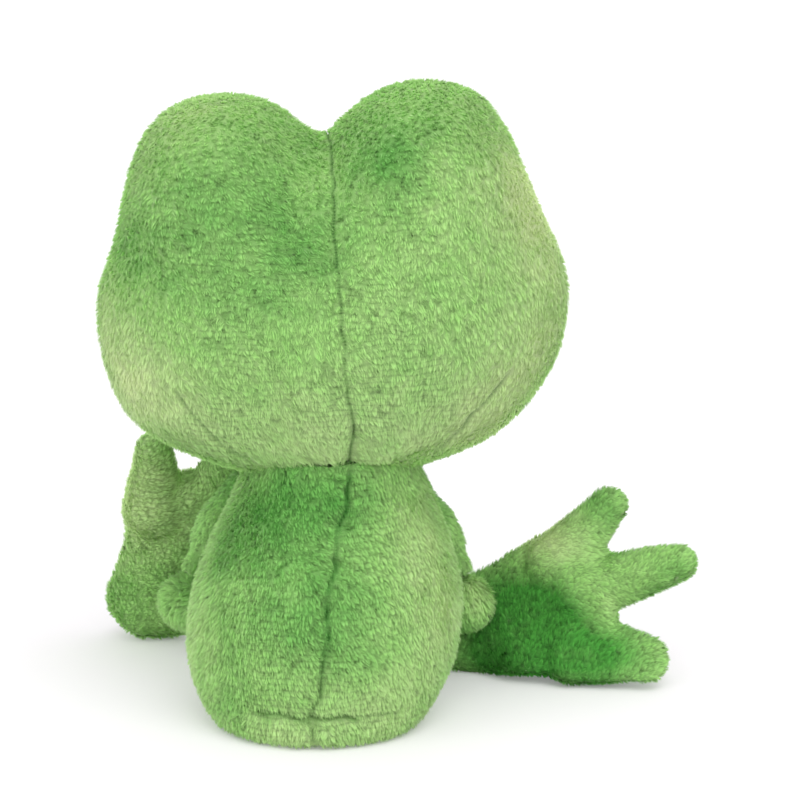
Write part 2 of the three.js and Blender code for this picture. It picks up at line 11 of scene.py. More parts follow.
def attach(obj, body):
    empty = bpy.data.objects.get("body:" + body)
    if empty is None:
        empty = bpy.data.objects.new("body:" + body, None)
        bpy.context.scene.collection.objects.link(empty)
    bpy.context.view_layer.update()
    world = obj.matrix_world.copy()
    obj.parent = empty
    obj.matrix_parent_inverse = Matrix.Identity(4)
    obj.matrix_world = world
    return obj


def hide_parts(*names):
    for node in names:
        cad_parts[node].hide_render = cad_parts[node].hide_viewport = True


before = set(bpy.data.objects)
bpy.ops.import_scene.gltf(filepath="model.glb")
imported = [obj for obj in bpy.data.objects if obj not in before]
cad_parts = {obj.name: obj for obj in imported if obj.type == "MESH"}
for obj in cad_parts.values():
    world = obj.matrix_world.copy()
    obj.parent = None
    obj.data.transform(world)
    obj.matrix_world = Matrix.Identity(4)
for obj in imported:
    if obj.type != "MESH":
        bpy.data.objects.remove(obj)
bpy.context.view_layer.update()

mm = 0.001


def newObject(name, data):
    thing = bpy.data.objects.new(name, data)
    bpy.context.scene.collection.objects.link(thing)
    return thing


# Camera

cameraSettings = {
    "location": (-0.0205, 0.8769, 0.2845), "target": (-0.0205, 0.0, 0.082), "lens": 162, "sensor": 36,
    "nearest": 0.01, "farthest": 30,
}
cameraData = bpy.data.cameras.new("camera")
cameraData.lens = cameraSettings["lens"]
cameraData.sensor_width = cameraSettings["sensor"]
cameraData.clip_start = cameraSettings["nearest"]
cameraData.clip_end = cameraSettings["farthest"]
camera = newObject("camera", cameraData)
camera.location = cameraSettings["location"]
aim = Vector(cameraSettings["target"]) - camera.location
camera.rotation_euler = aim.to_track_quat("-Z", "Y").to_euler()
bpy.context.scene.camera = camera
print("camera ready")


# Arrays of points and triangles

def unit(vectors):
    return vectors / np.maximum(np.linalg.norm(vectors, axis=-1, keepdims=True), 1e-9)


def placed(matrix, points):
    m = np.array(matrix)
    return points @ m[:3, :3].T + m[:3, 3]


def turned(degrees, axis):
    return Matrix.Rotation(math.radians(degrees), 4, axis)


def wayIn(place, way):
    return np.array(place.to_3x3() @ Vector(way))


def fading(distance, width):
    # 1 where the distance is nothing, a third at the width, and soon nothing beyond it
    return np.exp(-(distance / width) ** 2)


def closeTo(points, place, reach):
    return fading(np.linalg.norm(points - np.array(place), axis=1), reach)


def lengthwise(values):
    # values as places on one line, for noise that changes along a seam only
    return np.column_stack((values, 0 * values, 0 * values))


def pointNormals(points, faces):
    a, b, c = points[faces[:, 0]], points[faces[:, 1]], points[faces[:, 2]]
    across = np.cross(b - a, c - a)
    total = np.zeros_like(points)
    for corner in range(3):
        for axis in range(3):
            total[:, axis] += np.bincount(faces[:, corner], across[:, axis], len(points))
    return unit(total)


noisePrimes = np.array((73856093, 19349663, 83492791))


def wavy(points, size, seed=0, octaves=2):
    # smooth noise from about -1 to 1, with hills about `size` apart
    total = np.zeros(len(points))
    for octave in range(octaves):
        scaled = points / size * 2 ** octave + 31.7 * (octave + 1)
        cell = np.floor(scaled).astype(np.int64)
        part = scaled - cell
        part = part * part * (3 - 2 * part)
        for corner in product((0, 1), repeat=3):
            mixed = np.bitwise_xor.reduce((cell + corner) * noisePrimes, axis=1) ^ (seed * 2654435 + 97)
            mixed = ((mixed ^ (mixed >> 13)) * 1274126177) & 0x7fffffff
            weight = np.prod(np.where(corner, part, 1 - part), axis=1)
            total += (mixed % 20011 / 10005.5 - 1) * weight * 0.6 ** octave
    return total


def softened(points, faces, rounds):
    # smoothing that keeps the volume
    edges = np.vstack((faces[:, [0, 1]], faces[:, [1, 2]], faces[:, [2, 0]]))
    count = np.bincount(edges.ravel(), minlength=len(points))[:, None]
    for _ in range(rounds):
        for push in (0.5, -0.52):
            near = np.empty_like(points)
            for axis in range(3):
                near[:, axis] = np.bincount(edges[:, 0], points[edges[:, 1], axis], len(points))
                near[:, axis] += np.bincount(edges[:, 1], points[edges[:, 0], axis], len(points))
            points = points + push * (near / count - points)
    return points


def eased(points, pulls):
    # slow pushes on a form: each is a place, how far it reaches and how far it moves the cloth
    moved = points.copy()
    for place, reach, move in pulls:
        moved += closeTo(points, place, reach)[:, None] * np.array(move)
    return moved


def treeOf(points):
    tree = KDTree(len(points))
    for i, p in enumerate(points):
        tree.insert(p, i)
    tree.balance()
    return tree


def joined(parts):
    starts = np.cumsum([0] + [len(points) for points, _ in parts])
    return (np.vstack([points for points, _ in parts]),
            np.vstack([faces + start for (_, faces), start in zip(parts, starts)]))


def plainForm(points, faces):
    return {"points": points, "faces": faces, "normals": pointNormals(points, faces)}


# Turned and drawn forms

def roundTurn(around):
    # the angles of an even ring of points, with their cosines and sines
    angle = np.arange(around) * 2 * math.pi / around
    return angle, np.cos(angle), np.sin(angle)


def band(low, high, around):
    # the triangles between two rings of points that start at `low` and `high`
    i = np.arange(around)
    j = (i + 1) % around
    first = np.column_stack((low + i, low + j, high + i))
    return np.vstack((first, np.column_stack((low + j, high + j, high + i))))


def fan(pole, ring, around):
    i = np.arange(around)
    return np.column_stack((np.full(around, pole), ring + (i + 1) % around, ring + i))


def ringFaces(around, last):
    # the skin over rings of points, from a pole before them to the pole `last` after them
    faces = [fan(0, 1, around)] + [band(k, k + around, around) for k in range(1, last - around, around)]
    return np.vstack(faces + [fan(last, last - around, around)[:, ::-1]])


def lathe(profile, around):
    # a closed turned form; the profile goes from pole to pole as (radius, height)
    profile = np.array(profile, float)
    _, cos, sin = roundTurn(around)
    rings = [np.column_stack((radius * cos, radius * sin, np.full(around, height)))
             for radius, height in profile[1:-1]]
    points = np.vstack([[(0, 0, profile[0, 1])]] + rings + [[(0, 0, profile[-1, 1])]])
    faces = ringFaces(around, len(points) - 1)
    return points, faces[:, ::-1] if profile[-1, 1] < profile[0, 1] else faces


def eggForm(centre, size, around=28, steps=17):
    points, faces = lathe([(math.sin(t), -math.cos(t)) for t in np.linspace(0, math.pi, steps)], around)
    return points * np.array(size) + np.array(centre), faces


def roundBar(start, startRadius, end, endRadius, around=28):
    # a bar with ball ends
    start, end = np.array(start, float), np.array(end, float)
    length = np.linalg.norm(end - start)
    turn = np.linspace(0, math.pi / 2, 9)
    low = [(startRadius * math.sin(t), -startRadius * math.cos(t)) for t in turn]
    high = [(endRadius * math.cos(t), length + endRadius * math.sin(t)) for t in turn]
    points, faces = lathe(low + high, around)
    return placed(facing(end - start), points) + start, faces


def facing(way):
    # turns an upright form so that its top points along `way`
    return Vector(way).to_track_quat("Z", "Y").to_matrix().to_4x4()


def smoothCurve(knots, steps):
    # an even curve through the knots
    knots = np.array(knots, float)
    padded = np.vstack((2 * knots[0] - knots[1], knots, 2 * knots[-1] - knots[-2]))
    out = []
    for i in range(len(knots) - 1):
        a, b, c, d = padded[i:i + 4]
        t = np.linspace(0, 1, steps, endpoint=False)[:, None]
        bend = (2 * a - 5 * b + 4 * c - d) * t ** 2 + (3 * b - a - 3 * c + d) * t ** 3
        out.append(0.5 * (2 * b + (c - a) * t + bend))
    return np.vstack(out + [knots[-1:]])


def alongOf(line):
    # how far along a line each of its points lies
    return np.concatenate(([0], np.cumsum(np.linalg.norm(np.diff(line, axis=0), axis=1))))


def cordForm(line, radius, around=8):
    # a round thread along a line of points
    ahead = unit(np.gradient(line, axis=0))
    aside = unit(np.cross(ahead, (0.123, 0.377, 0.918)))  # a way that no thread here runs in
    above = np.cross(ahead, aside)
    _, cos, sin = roundTurn(around)
    rings = [p + radius * (cos[:, None] * a + sin[:, None] * b) for p, a, b in zip(line, aside, above)]
    points = np.vstack([line[:1]] + rings + [line[-1:]])
    return points, ringFaces(around, len(points) - 1)[:, ::-1]


# Meshes

def meshArrays(mesh):
    mesh.calc_loop_triangles()
    points = np.empty(len(mesh.vertices) * 3)
    mesh.vertices.foreach_get("co", points)
    faces = np.empty(len(mesh.loop_triangles) * 3, np.int32)
    mesh.loop_triangles.foreach_get("vertices", faces)
    return points.reshape(-1, 3), faces.reshape(-1, 3).astype(int)


def plainMesh(name, points, faces):
    mesh = bpy.data.meshes.new(name)
    mesh.vertices.add(len(points))
    mesh.vertices.foreach_set("co", np.ascontiguousarray(points, float).ravel())
    mesh.loops.add(len(faces) * 3)
    mesh.loops.foreach_set("vertex_index", np.ascontiguousarray(faces, np.int32).ravel())
    mesh.polygons.add(len(faces))
    mesh.polygons.foreach_set("loop_start", np.arange(0, len(faces) * 3, 3, dtype=np.int32))
    mesh.polygons.foreach_set("use_smooth", np.ones(len(faces), bool))
    mesh.update(calc_edges=True)
    return mesh


def readBack(thing):
    # the points and triangles that an object's modifiers leave; the object itself goes
    seen = thing.evaluated_get(bpy.context.evaluated_depsgraph_get())
    out = meshArrays(seen.to_mesh())
    seen.to_mesh_clear()
    mesh = thing.data
    bpy.data.objects.remove(thing)
    bpy.data.meshes.remove(mesh)
    return out


def remeshed(points, faces, voxel):
    thing = newObject("passing", plainMesh("passing", points, faces))
    remesh = thing.modifiers.new("remesh", "REMESH")
    remesh.mode = "VOXEL"
    remesh.voxel_size = voxel
    return readBack(thing)


def sewnTogether(parts, voxel, rounds):
    # overlapping closed forms become one skin with soft inner corners
    points, faces = remeshed(*joined(parts), voxel)
    return softened(points, faces, rounds), faces


def makePiece(name, form, material, body, nodes):
    mesh = plainMesh(name, form["points"] * mm, form["faces"])
    for label in ("tip", "strand", "nap", "seam"):
        if label in form:
            values = form[label].astype(np.float32)
            mesh.attributes.new(label, "FLOAT", "POINT").data.foreach_set("value", values)
    mesh.normals_split_custom_set_from_vertices(form["normals"].astype(np.float32))
    mesh.materials.append(material)
    piece = newObject(name, mesh)
    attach(piece, body)
    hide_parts(*nodes)
    print(f"{name}: {len(form['faces'])} faces")
    return piece


# Seams: what each one has unless its own dictionary says otherwise, in mm or as a share

seamBasics = {
    "width": 0.5, "depth": 0.5, "dip": 0.3, "dipWidth": 2.2, "pucker": 0.15, "reach": 4, "shade": 0.45,
    "rag": 0.4, "ragSpacing": 4, "puckerSpacing": 5, "endFade": 5, "part": 1.0, "partWidth": 1.9,
}
onPileReach = 6  # a seam line lies on the outside of the pile, so this near to it only the way across counts


def skinOf(points, faces, inset):
    normals = pointNormals(points, faces)
    return {
        "points": points - normals * inset, "faces": faces, "normals": normals, "seam": np.zeros(len(points)),
        "parted": np.zeros(len(points)), "away": np.zeros_like(points),
    }


def raised(skin, height):
    # moves the cloth out along its normals, or in where the height is below nothing
    skin["points"] = skin["points"] + skin["normals"] * height[:, None]
    skin["normals"] = pointNormals(skin["points"], skin["faces"])


def lumpy(skin, size, height, seed):
    # the stuffing shows as slow hills and hollows
    raised(skin, wavy(skin["points"], size, seed) * height)


def grounded(skin):
    skin["points"][:, 2] = np.maximum(skin["points"][:, 2], 0)
    skin["normals"] = pointNormals(skin["points"], skin["faces"])


def nearest(points, line, normals=None):
    # distance to a seam line, how far along it the nearest place is, and the way from there
    tree = treeOf(line)
    found = [tree.find(p) for p in points]
    away, distance = points - np.array([f[0] for f in found]), np.array([f[2] for f in found])
    if normals is not None:
        away = away - normals * (away * normals).sum(1)[:, None]
        distance = np.where(distance < onPileReach, np.linalg.norm(away, axis=1), distance)
    return distance, alongOf(line)[[f[1] for f in found]], unit(away)


def sewn(skin, distance, along, settings, away=None):
    # pulls the cloth into a narrow groove in a broad dip, and puckers it beside the thread
    s = {**seamBasics, **settings}
    rag = np.clip(1 + s["rag"] * wavy(lengthwise(along), s["ragSpacing"], s["seed"]), 0.15, 2)
    rag = rag * np.clip(np.minimum(along, along.max() - along) / s["endFade"] + 0.1, 0.1, 1)
    core = fading(distance, s["width"])
    folds = np.column_stack((along / 0.45, distance * 0.35, along * 0))  # short folds across the seam
    pucker = wavy(folds, s["puckerSpacing"], s["seed"] + 5) * (fading(distance, s["reach"]) * (1 - core))
    parted = fading(distance, s["width"] * s["partWidth"]) * s["part"]
    # the seam's painted shade, darkest along the thread
    skin["seam"] = np.maximum(skin["seam"], core * np.clip(rag, 0, 1.1) * s["shade"])
    skin["parted"] = np.maximum(skin["parted"], parted)
    if away is not None:
        skin["away"] += away * parted[:, None]
    groove = s["depth"] * rag * core + s["dip"] * rag * fading(distance, s["dipWidth"])
    raised(skin, s["pucker"] * pucker - groove)


# Stuffing: a cloth simulation presses each skin out between the places where it is sewn down

puffSettings = {
    "frames": 20, "pressure": 400.0, "sewnReach": 3.0, "cap": 1.0, "voxel": 4.5, "neighbours": 4, "gap": 0.5,
}


def puffed(points, faces, sewnLines):
    # the form is already a full one, so the pressure is high and the skin moves by a millimetre at most
    coarse, coarseFaces = remeshed(points * mm, faces, puffSettings["voxel"] * mm)
    thing = newObject("stuffed", plainMesh("stuffed", coarse, coarseFaces))
    held = thing.vertex_groups.new(name="sewnDown")
    near = nearest(coarse / mm, sewnLines)[0] < puffSettings["sewnReach"]
    held.add(np.flatnonzero(near).tolist(), 1.0, "REPLACE")
    cloth = thing.modifiers.new("cloth", "CLOTH")
    cloth.settings.vertex_group_mass = "sewnDown"
    cloth.settings.use_pressure = True
    cloth.settings.uniform_pressure_force = puffSettings["pressure"]
    cloth.settings.effector_weights.gravity = 0
    cloth.collision_settings.use_collision = False
    cloth.collision_settings.use_self_collision = False
    cloth.point_cache.frame_start = 1
    cloth.point_cache.frame_end = puffSettings["frames"]
    for step in range(1, puffSettings["frames"] + 1):
        bpy.context.scene.frame_set(step)
    pressed = readBack(thing)[0]
    bpy.context.scene.frame_set(1)
    out = ((pressed - coarse) * pointNormals(coarse, coarseFaces)).sum(1) / mm
    out = np.clip(out, -puffSettings["cap"], puffSettings["cap"])
    out -= np.median(out)
    # the fine skin takes its movement from the nearest points of the coarse one
    tree = treeOf(coarse / mm)
    swell = np.empty(len(points))
    for i, p in enumerate(points):
        found = tree.find_n(p, puffSettings["neighbours"])
        weights = np.array([1 / (f[2] + puffSettings["gap"]) ** 2 for f in found])
        swell[i] = (out[[f[1] for f in found]] * weights).sum() / weights.sum()
    print(f"stuffed {len(coarse)} points, moved {out.min():.2f} to {out.max():.2f} mm")
    return points + pointNormals(points, faces) * swell[:, None]


# Pile: thousands of short slivers of fibre that lean with the nap
# Lengths are in mm and turns in degrees. A "tuft" value is shared by a whole tuft, a "stray" one is the
# sliver's own, and a "brushed" one counts where the nap is brushed up, which is also painted darker as shade.

pileSettings = {
    "inset": 0.75, "length": 1.5, "width": 0.34, "rooted": 0.12, "strayLength": 0.14, "seamLength": 0.72,
    "lean": 54, "leastLean": 18, "mostLean": 78, "tuftLean": 7, "strayLean": 5, "brushedLean": 10,
    "seamLean": 0.3,
    "swirl": 26, "swirlSize": 11, "tuftSwirl": 14, "straySwirl": 6, "brushedSwirl": 30, "seamSplay": 1.6,
    "tuft": 7, "tuftStretch": 0.45, "gather": 0.54, "brushedGather": 0.25, "round": 0.42, "brushedRound": 0.6,
    "seamBare": 0.97, "strand": 0.64, "strayStrand": 0.06, "tuftShade": 0.24, "brushedShade": 0.16,
}
napNoise = ((17, 0.14, 0), (6, 0.07, 3))  # size, amount and seed of the slow and the small changes


def tufts(root, settings, rng):
    # which tuft each sliver belongs to; tufts are long with the nap, or level where "level" says so
    start, end = settings.get("level", (900, 901))
    level = (root[:, 0] - start) / (end - start) > rng.random(len(root))
    squeezed = np.empty_like(root)
    for chosen, way in ((~level, settings.get("strokes", (-0.25, 0.2, -1))), (level, (1, 0, 0.08))):
        way = np.array(way, float) / np.linalg.norm(way)
        squeezed[chosen] = root[chosen] - pileSettings["tuftStretch"] * (root[chosen] @ way)[:, None] * way
    squeezed[level, 0] += 1000  # keeps the two kinds of tuft apart
    centres = rng.choice(len(root), max(len(root) // pileSettings["tuft"], 1), replace=False)
    tree = treeOf(squeezed[centres])
    return centres, np.array([tree.find(p)[1] for p in squeezed])


def brushedSheenAndShadeAmount(points, patches, seed):
    # -1 where the nap lies flat and is painted pale as sheen, 1 where it is brushed up and painted dark as
    # shade
    total = sum(wavy(points, size, seed + more) * amount for size, amount, more in napNoise)
    for centre, size, amount in patches:
        total += amount * closeTo(points, centre, size)
    return np.clip(total, -1, 1)


def scattered(skin, settings, rng):
    # even places over the cloth that shows, fewer where a seam parts the pile, as triangles and weights
    faces, corners = skin["faces"], skin["points"][skin["faces"]]
    areas = np.linalg.norm(np.cross(corners[:, 1] - corners[:, 0], corners[:, 2] - corners[:, 0]), axis=1) / 2
    shown = np.ones(len(faces), bool)
    for hides in settings["bare"]:
        shown &= ~hides(corners.mean(1))
    areas = np.where(shown, areas, 0) * (1 - pileSettings["seamBare"] * skin["parted"][faces].mean(1) ** 1.8)
    density = min(settings["density"], (settings["faces"] - len(faces)) / max(areas.sum(), 1))
    count = np.floor(areas * density + rng.random(len(faces))).astype(int)
    pick = np.repeat(faces, count, axis=0)
    r = np.sqrt(rng.random(len(pick)))
    s = rng.random(len(pick))
    return pick, np.column_stack((1 - r, r * (1 - s), r * s))


def withPile(skin, settings, seed):
    points, faces, p = skin["points"], skin["faces"], pileSettings
    rng = np.random.default_rng(seed)
    pick, weights = scattered(skin, settings, rng)

    def atRoots(values):
        return (values[pick] * (weights if values.ndim == 1 else weights[:, :, None])).sum(1)

    def across(ways):
        return ways - normal * (ways * normal).sum(1)[:, None]

    root, normal = atRoots(points), unit(atRoots(skin["normals"]))
    seam, parted = atRoots(skin["seam"]), atRoots(skin["parted"])
    brushedSheenAndShade = brushedSheenAndShadeAmount(root, settings["patches"], settings["seed"])
    nap = unit(across(settings["nap"](root)))
    side = np.cross(normal, nap)
    centres, group = tufts(root, settings, rng)
    middle = centres[group]
    own = rng.normal(0, 1, (len(centres), 3))[group]  # each tuft's own turn, lean and shade

    swirl = wavy(root, p["swirlSize"], seed + 1) * p["swirl"] + own[:, 0] * p["tuftSwirl"]
    swirl += rng.normal(0, p["straySwirl"], len(root)) + brushedSheenAndShade * p["brushedSwirl"]
    turn = np.radians(swirl)[:, None]
    along = unit(across(nap * np.cos(turn) + side * np.sin(turn) + p["seamSplay"] * atRoots(skin["away"])))
    lean = p["lean"] - p["brushedLean"] * brushedSheenAndShade + rng.normal(0, p["strayLean"], len(root))
    lean += own[:, 1] * p["tuftLean"]
    lean = np.radians(np.clip(lean, p["leastLean"], p["mostLean"]) * (1 - p["seamLean"] * parted))[:, None]
    long = settings.get("length", p["length"]) * (1 + rng.normal(0, p["strayLength"], len(root)))
    long = long * (1 - p["seamLength"] * parted)
    tip = root + (normal * np.cos(lean) + along * np.sin(lean)) * long[:, None]
    tip += (tip[middle] - tip) * (p["gather"] * (1 + p["brushedGather"] * brushedSheenAndShade) * (1 - parted))[:, None]

    wide = unit(np.cross(unit(tip - root), normal) + 1e-6)
    half = wide * (settings.get("width", p["width"]) * (0.7 + 0.6 * rng.random(len(root))) / 2)[:, None]
    base = root - normal * p["rooted"]
    blades = np.stack((base - half, base + half, tip), axis=1)
    flat = unit(np.cross(blades[:, 1] - blades[:, 0], blades[:, 2] - blades[:, 0]))
    inward = (flat * normal).sum(1) < 0
    blades[inward] = blades[inward][:, [1, 0, 2]]
    flat[inward] *= -1
    blades[:, :, 2] = np.maximum(blades[:, :, 2], 0.05)  # no sliver passes through the floor
    hill = (root - root[middle]) * (p["round"] * (1 + p["brushedRound"] * brushedSheenAndShade))[:, None]
    bladeNormal = unit(normal * 0.8 + flat * 0.2 + hill)  # a tuft takes light as a small hill
    shadow = np.maximum(own[:, 2], 0) * (p["tuftShade"] + p["brushedShade"] * brushedSheenAndShade)
    strand = np.clip(p["strand"] + p["strayStrand"] * rng.normal(0, 1, len(root)) - shadow, 0, 1)
    start, n = len(points), len(root)
    below = brushedSheenAndShadeAmount(points, settings["patches"], settings["seed"])
    return {
        "points": np.vstack((points, blades.reshape(-1, 3))),
        "faces": np.vstack((faces, start + np.arange(n * 3).reshape(-1, 3))),
        "normals": np.vstack((skin["normals"], np.repeat(bladeNormal, 3, axis=0))),
        "tip": np.concatenate((np.zeros(start), np.tile((0.0, 0.0, 1.0), n))),
        "strand": np.concatenate((np.full(start, 0.5), np.repeat(strand, 3))),
        "nap": np.concatenate((below, np.repeat(brushedSheenAndShade, 3))),
        "seam": np.concatenate((skin["seam"], np.repeat(seam, 3))),
    }


# Materials

def addNode(tree, kind, values=None, **sockets):
    # sockets go by name or, as i0 and so on, by number; each takes a value or a link
    node = tree.nodes.new("ShaderNode" + kind)
    for name, value in (values or {}).items():
        setattr(node, name, value)
    for name, value in sockets.items():
        socket = node.inputs[int(name[1:]) if name[1:].isdigit() else name]
        if isinstance(value, bpy.types.NodeSocket):
            tree.links.new(value, socket)
        else:
            socket.default_value = value
    return node


def mathNode(tree, operation, a, b=0.0, clamp=False):
    return addNode(tree, "Math", {"operation": operation, "use_clamp": clamp}, i0=a, i1=b).outputs[0]


def mixColour(tree, share, a, b, blend="MIX"):
    return addNode(tree, "Mix", {"data_type": "RGBA", "blend_type": blend}, i0=share, i6=a, i7=b).outputs[2]


def rangeNode(tree, value, low=0.0, high=1.0, toLow=0.0, toHigh=1.0):
    return addNode(tree, "MapRange", i0=value, i1=low, i2=high, i3=toLow, i4=toHigh).outputs[0]


def noiseNode(tree, place, scale, detail):
    return addNode(tree, "TexNoise", Vector=place, Scale=scale, Detail=detail).outputs["Fac"]


def newGroup(name, inputs):
    # every finish here puts out a colour, a height and a roughness
    group = bpy.data.node_groups.new(name, "ShaderNodeTree")
    for label, value in inputs.items():
        kind = "NodeSocketFloat" if isinstance(value, float) else "NodeSocketColor"
        group.interface.new_socket(label, in_out="INPUT", socket_type=kind).default_value = value
    for label, kind in (("Colour", "Color"), ("Height", "Float"), ("Roughness", "Float")):
        group.interface.new_socket(label, in_out="OUTPUT", socket_type="NodeSocket" + kind)
    return group, group.nodes.new("NodeGroupInput").outputs, group.nodes.new("NodeGroupOutput").inputs


def rgb(*screen):
    # a screen colour as written, turned into light
    light = [((c / 255 + 0.055) / 1.055) ** 2.4 if c > 10 else c / 255 / 12.92 for c in screen]
    return (*light, 1.0)


plushNoise = {"patch": (190.0, 3.0), "drift": (110.0, 3.0), "where": (38.0, 1.0), "clump": (780.0, 2.0)}


def plushGroup():
    group, given, out = newGroup("plushNap", {
        "Pale Nap Sheen": (0.5, 0.7, 0.3, 1), "Flat Nap": (0.3, 0.5, 0.2, 1), "Raised Nap Shade": (0.1, 0.3, 0.1, 1),
        "Rib Spacing": 1.35, "Rib Shade": 0.12, "Root Shade": 0.6,
    })
    place = addNode(group, "TexCoord").outputs["Object"]
    nap, tip, strand, seam = [addNode(group, "Attribute", {"attribute_name": label}).outputs["Fac"]
                              for label in ("nap", "tip", "strand", "seam")]
    # the brushed nap, a slow noise and the seams set the colour: painted sheen where the nap lies flat,
    # painted shade where it is brushed up and along the seams
    patch = noiseNode(group, place, *plushNoise["patch"])
    brushedSheenAndShade = mathNode(group, "ADD", nap, rangeNode(group, patch, 0.3, 0.7, -0.12, 0.12))
    brushedSheenAndShade = mathNode(group, "ADD", brushedSheenAndShade, rangeNode(group, seam, toHigh=0.6))
    colour = mixColour(group, rangeNode(group, brushedSheenAndShade, high=-1.0), given["Flat Nap"], given["Pale Nap Sheen"])
    colour = mixColour(group, rangeNode(group, brushedSheenAndShade), colour, given["Raised Nap Shade"])
    # knit rows show through here and there as faint level lines of painted shade, where the pile parts
    # between the rows
    height = mathNode(group, "MULTIPLY_ADD", noiseNode(group, place, *plushNoise["drift"]), 0.0045)
    group.links.new(addNode(group, "SeparateXYZ", i0=place).outputs["Z"], height.node.inputs[2])
    rows = mathNode(group, "MULTIPLY", height, 1000 * 2 * math.pi)
    rows = mathNode(group, "DIVIDE", rows, given["Rib Spacing"])
    rows = rangeNode(group, mathNode(group, "SINE", rows), 0.2, 1.0)
    where = noiseNode(group, place, *plushNoise["where"])
    rows = mathNode(group, "MULTIPLY", rows, rangeNode(group, where, 0.42, 0.6))
    rows = mathNode(group, "MULTIPLY", rows, given["Rib Shade"])
    # painted shade in the gaps between tufts
    clumps = noiseNode(group, place, *plushNoise["clump"])
    gap = rangeNode(group, clumps, 0.54, 0.72)
    gap = mathNode(group, "MULTIPLY", gap, rangeNode(group, brushedSheenAndShade, -0.8, 0.2, 0.07, 0.24))
    light = mathNode(group, "SUBTRACT", rangeNode(group, strand, 0.0, 1.0, 0.64, 1.2), rows)
    light = mathNode(group, "SUBTRACT", light, gap)
    # roots and seams lie in shade
    depth = mathNode(group, "SUBTRACT", 1.0, given["Root Shade"])
    fromRoot = mathNode(group, "MULTIPLY", depth, mathNode(group, "SUBTRACT", 1.0, tip))
    light = mathNode(group, "SUBTRACT", light, fromRoot)
    light = mathNode(group, "MULTIPLY", light, rangeNode(group, seam, 0.0, 1.0, 1.0, 0.36))
    shade = addNode(group, "CombineColor", Red=light, Green=light, Blue=light).outputs[0]
    group.links.new(mixColour(group, 1.0, colour, shade, "MULTIPLY"), out["Colour"])
    group.links.new(clumps, out["Height"])
    group.links.new(rangeNode(group, clumps, 0.3, 0.7, 0.78, 0.98), out["Roughness"])
    return group


def grainGroup():
    # fine uneven grain for the hard and smooth parts
    group, given, out = newGroup("fineGrain", {
        "Base": (0.5, 0.5, 0.5, 1), "Other": (0.4, 0.4, 0.4, 1),
        "Grain Size": 1.0, "Smoothest": 0.3, "Roughest": 0.5,
    })
    place = addNode(group, "TexCoord").outputs["Object"]
    grain = noiseNode(group, place, mathNode(group, "DIVIDE", 1000.0, given["Grain Size"]), 4.0)
    share = rangeNode(group, grain, 0.35, 0.65)
    group.links.new(mixColour(group, share, given["Base"], given["Other"]), out["Colour"])
    group.links.new(grain, out["Height"])
    rough = rangeNode(group, grain, 0.3, 0.7, given["Smoothest"], given["Roughest"])
    group.links.new(rough, out["Roughness"])
    return group


plushNap = plushGroup()
fineGrain = grainGroup()


def newMaterial(name, group, values, shader, bump, bumpHeight, thin=False):
    material = bpy.data.materials.new(name)
    material.use_nodes = True
    tree = material.node_tree
    principled = tree.nodes["Principled BSDF"]
    finish = addNode(tree, "Group", {"node_tree": group})
    for label, value in values.items():
        finish.inputs[label].default_value = value
    colour = finish.outputs["Colour"]
    tree.links.new(colour, principled.inputs["Base Color"])
    tree.links.new(finish.outputs["Roughness"], principled.inputs["Roughness"])
    relief = addNode(tree, "Bump", Strength=bump, Distance=bumpHeight, Height=finish.outputs["Height"])
    tree.links.new(relief.outputs["Normal"], principled.inputs["Normal"])
    if thin:  # light comes through a sliver of pile seen from its far side
        share = mathNode(tree, "MULTIPLY", addNode(tree, "NewGeometry").outputs["Backfacing"], 0.95)
        through = addNode(tree, "BsdfTranslucent", Color=colour)
        both = addNode(tree, "MixShader", i0=share, i1=principled.outputs[0], i2=through.outputs[0])
        tree.links.new(both.outputs[0], tree.nodes["Material Output"].inputs["Surface"])
    for label, value in shader.items():
        principled.inputs[label].default_value = value
    return material


plushLook = {
    "Pale Nap Sheen": rgb(222, 243, 178), "Flat Nap": rgb(181, 231, 141), "Raised Nap Shade": rgb(98, 186, 80),
    "Rib Spacing": 1.5, "Rib Shade": 0.12, "Root Shade": 0.66,
}
softSheen = {
    "Sheen Weight": 0.6, "Sheen Roughness": 0.4, "Sheen Tint": rgb(232, 248, 206), "Specular IOR Level": 0.12,
}
plush = newMaterial("greenPlush", plushNap, plushLook, softSheen, bump=0.35, bumpHeight=0.0006, thin=True)
eyeGlaze = newMaterial("blackEyeGlaze", fineGrain, {
    "Base": rgb(14, 14, 16), "Other": rgb(20, 20, 23),
    "Grain Size": 2.5, "Smoothest": 0.06, "Roughest": 0.12,
}, {"Coat Weight": 0.05, "Coat Roughness": 0.04, "Specular IOR Level": 0.28}, bump=0.03, bumpHeight=0.0001)
whiteFelt = newMaterial("whiteFelt", fineGrain, {
    "Base": rgb(244, 243, 236), "Other": rgb(226, 225, 214),
    "Grain Size": 0.7, "Smoothest": 0.85, "Roughest": 1.0,
}, {"Sheen Weight": 0.3, "Sheen Roughness": 0.5}, bump=0.5, bumpHeight=0.0004)
darkThread = newMaterial("darkGreenThread", fineGrain, {
    "Base": rgb(38, 58, 34), "Other": rgb(58, 84, 50),
    "Grain Size": 0.35, "Smoothest": 0.5, "Roughest": 0.75,
}, {"Sheen Weight": 0.15}, bump=0.5, bumpHeight=0.0002)
greenThread = newMaterial("greenSeamThread", fineGrain, {
    "Base": rgb(92, 152, 72), "Other": rgb(112, 172, 88),
    "Grain Size": 0.35, "Smoothest": 0.6, "Roughest": 0.8,
}, {"Sheen Weight": 0.15}, bump=0.5, bumpHeight=0.0002)
washerPlastic = newMaterial("washerPlastic", fineGrain, {
    "Base": rgb(214, 216, 217), "Other": rgb(202, 204, 206),
    "Grain Size": 1.5, "Smoothest": 0.32, "Roughest": 0.48,
}, {}, bump=0.1, bumpHeight=0.0001)
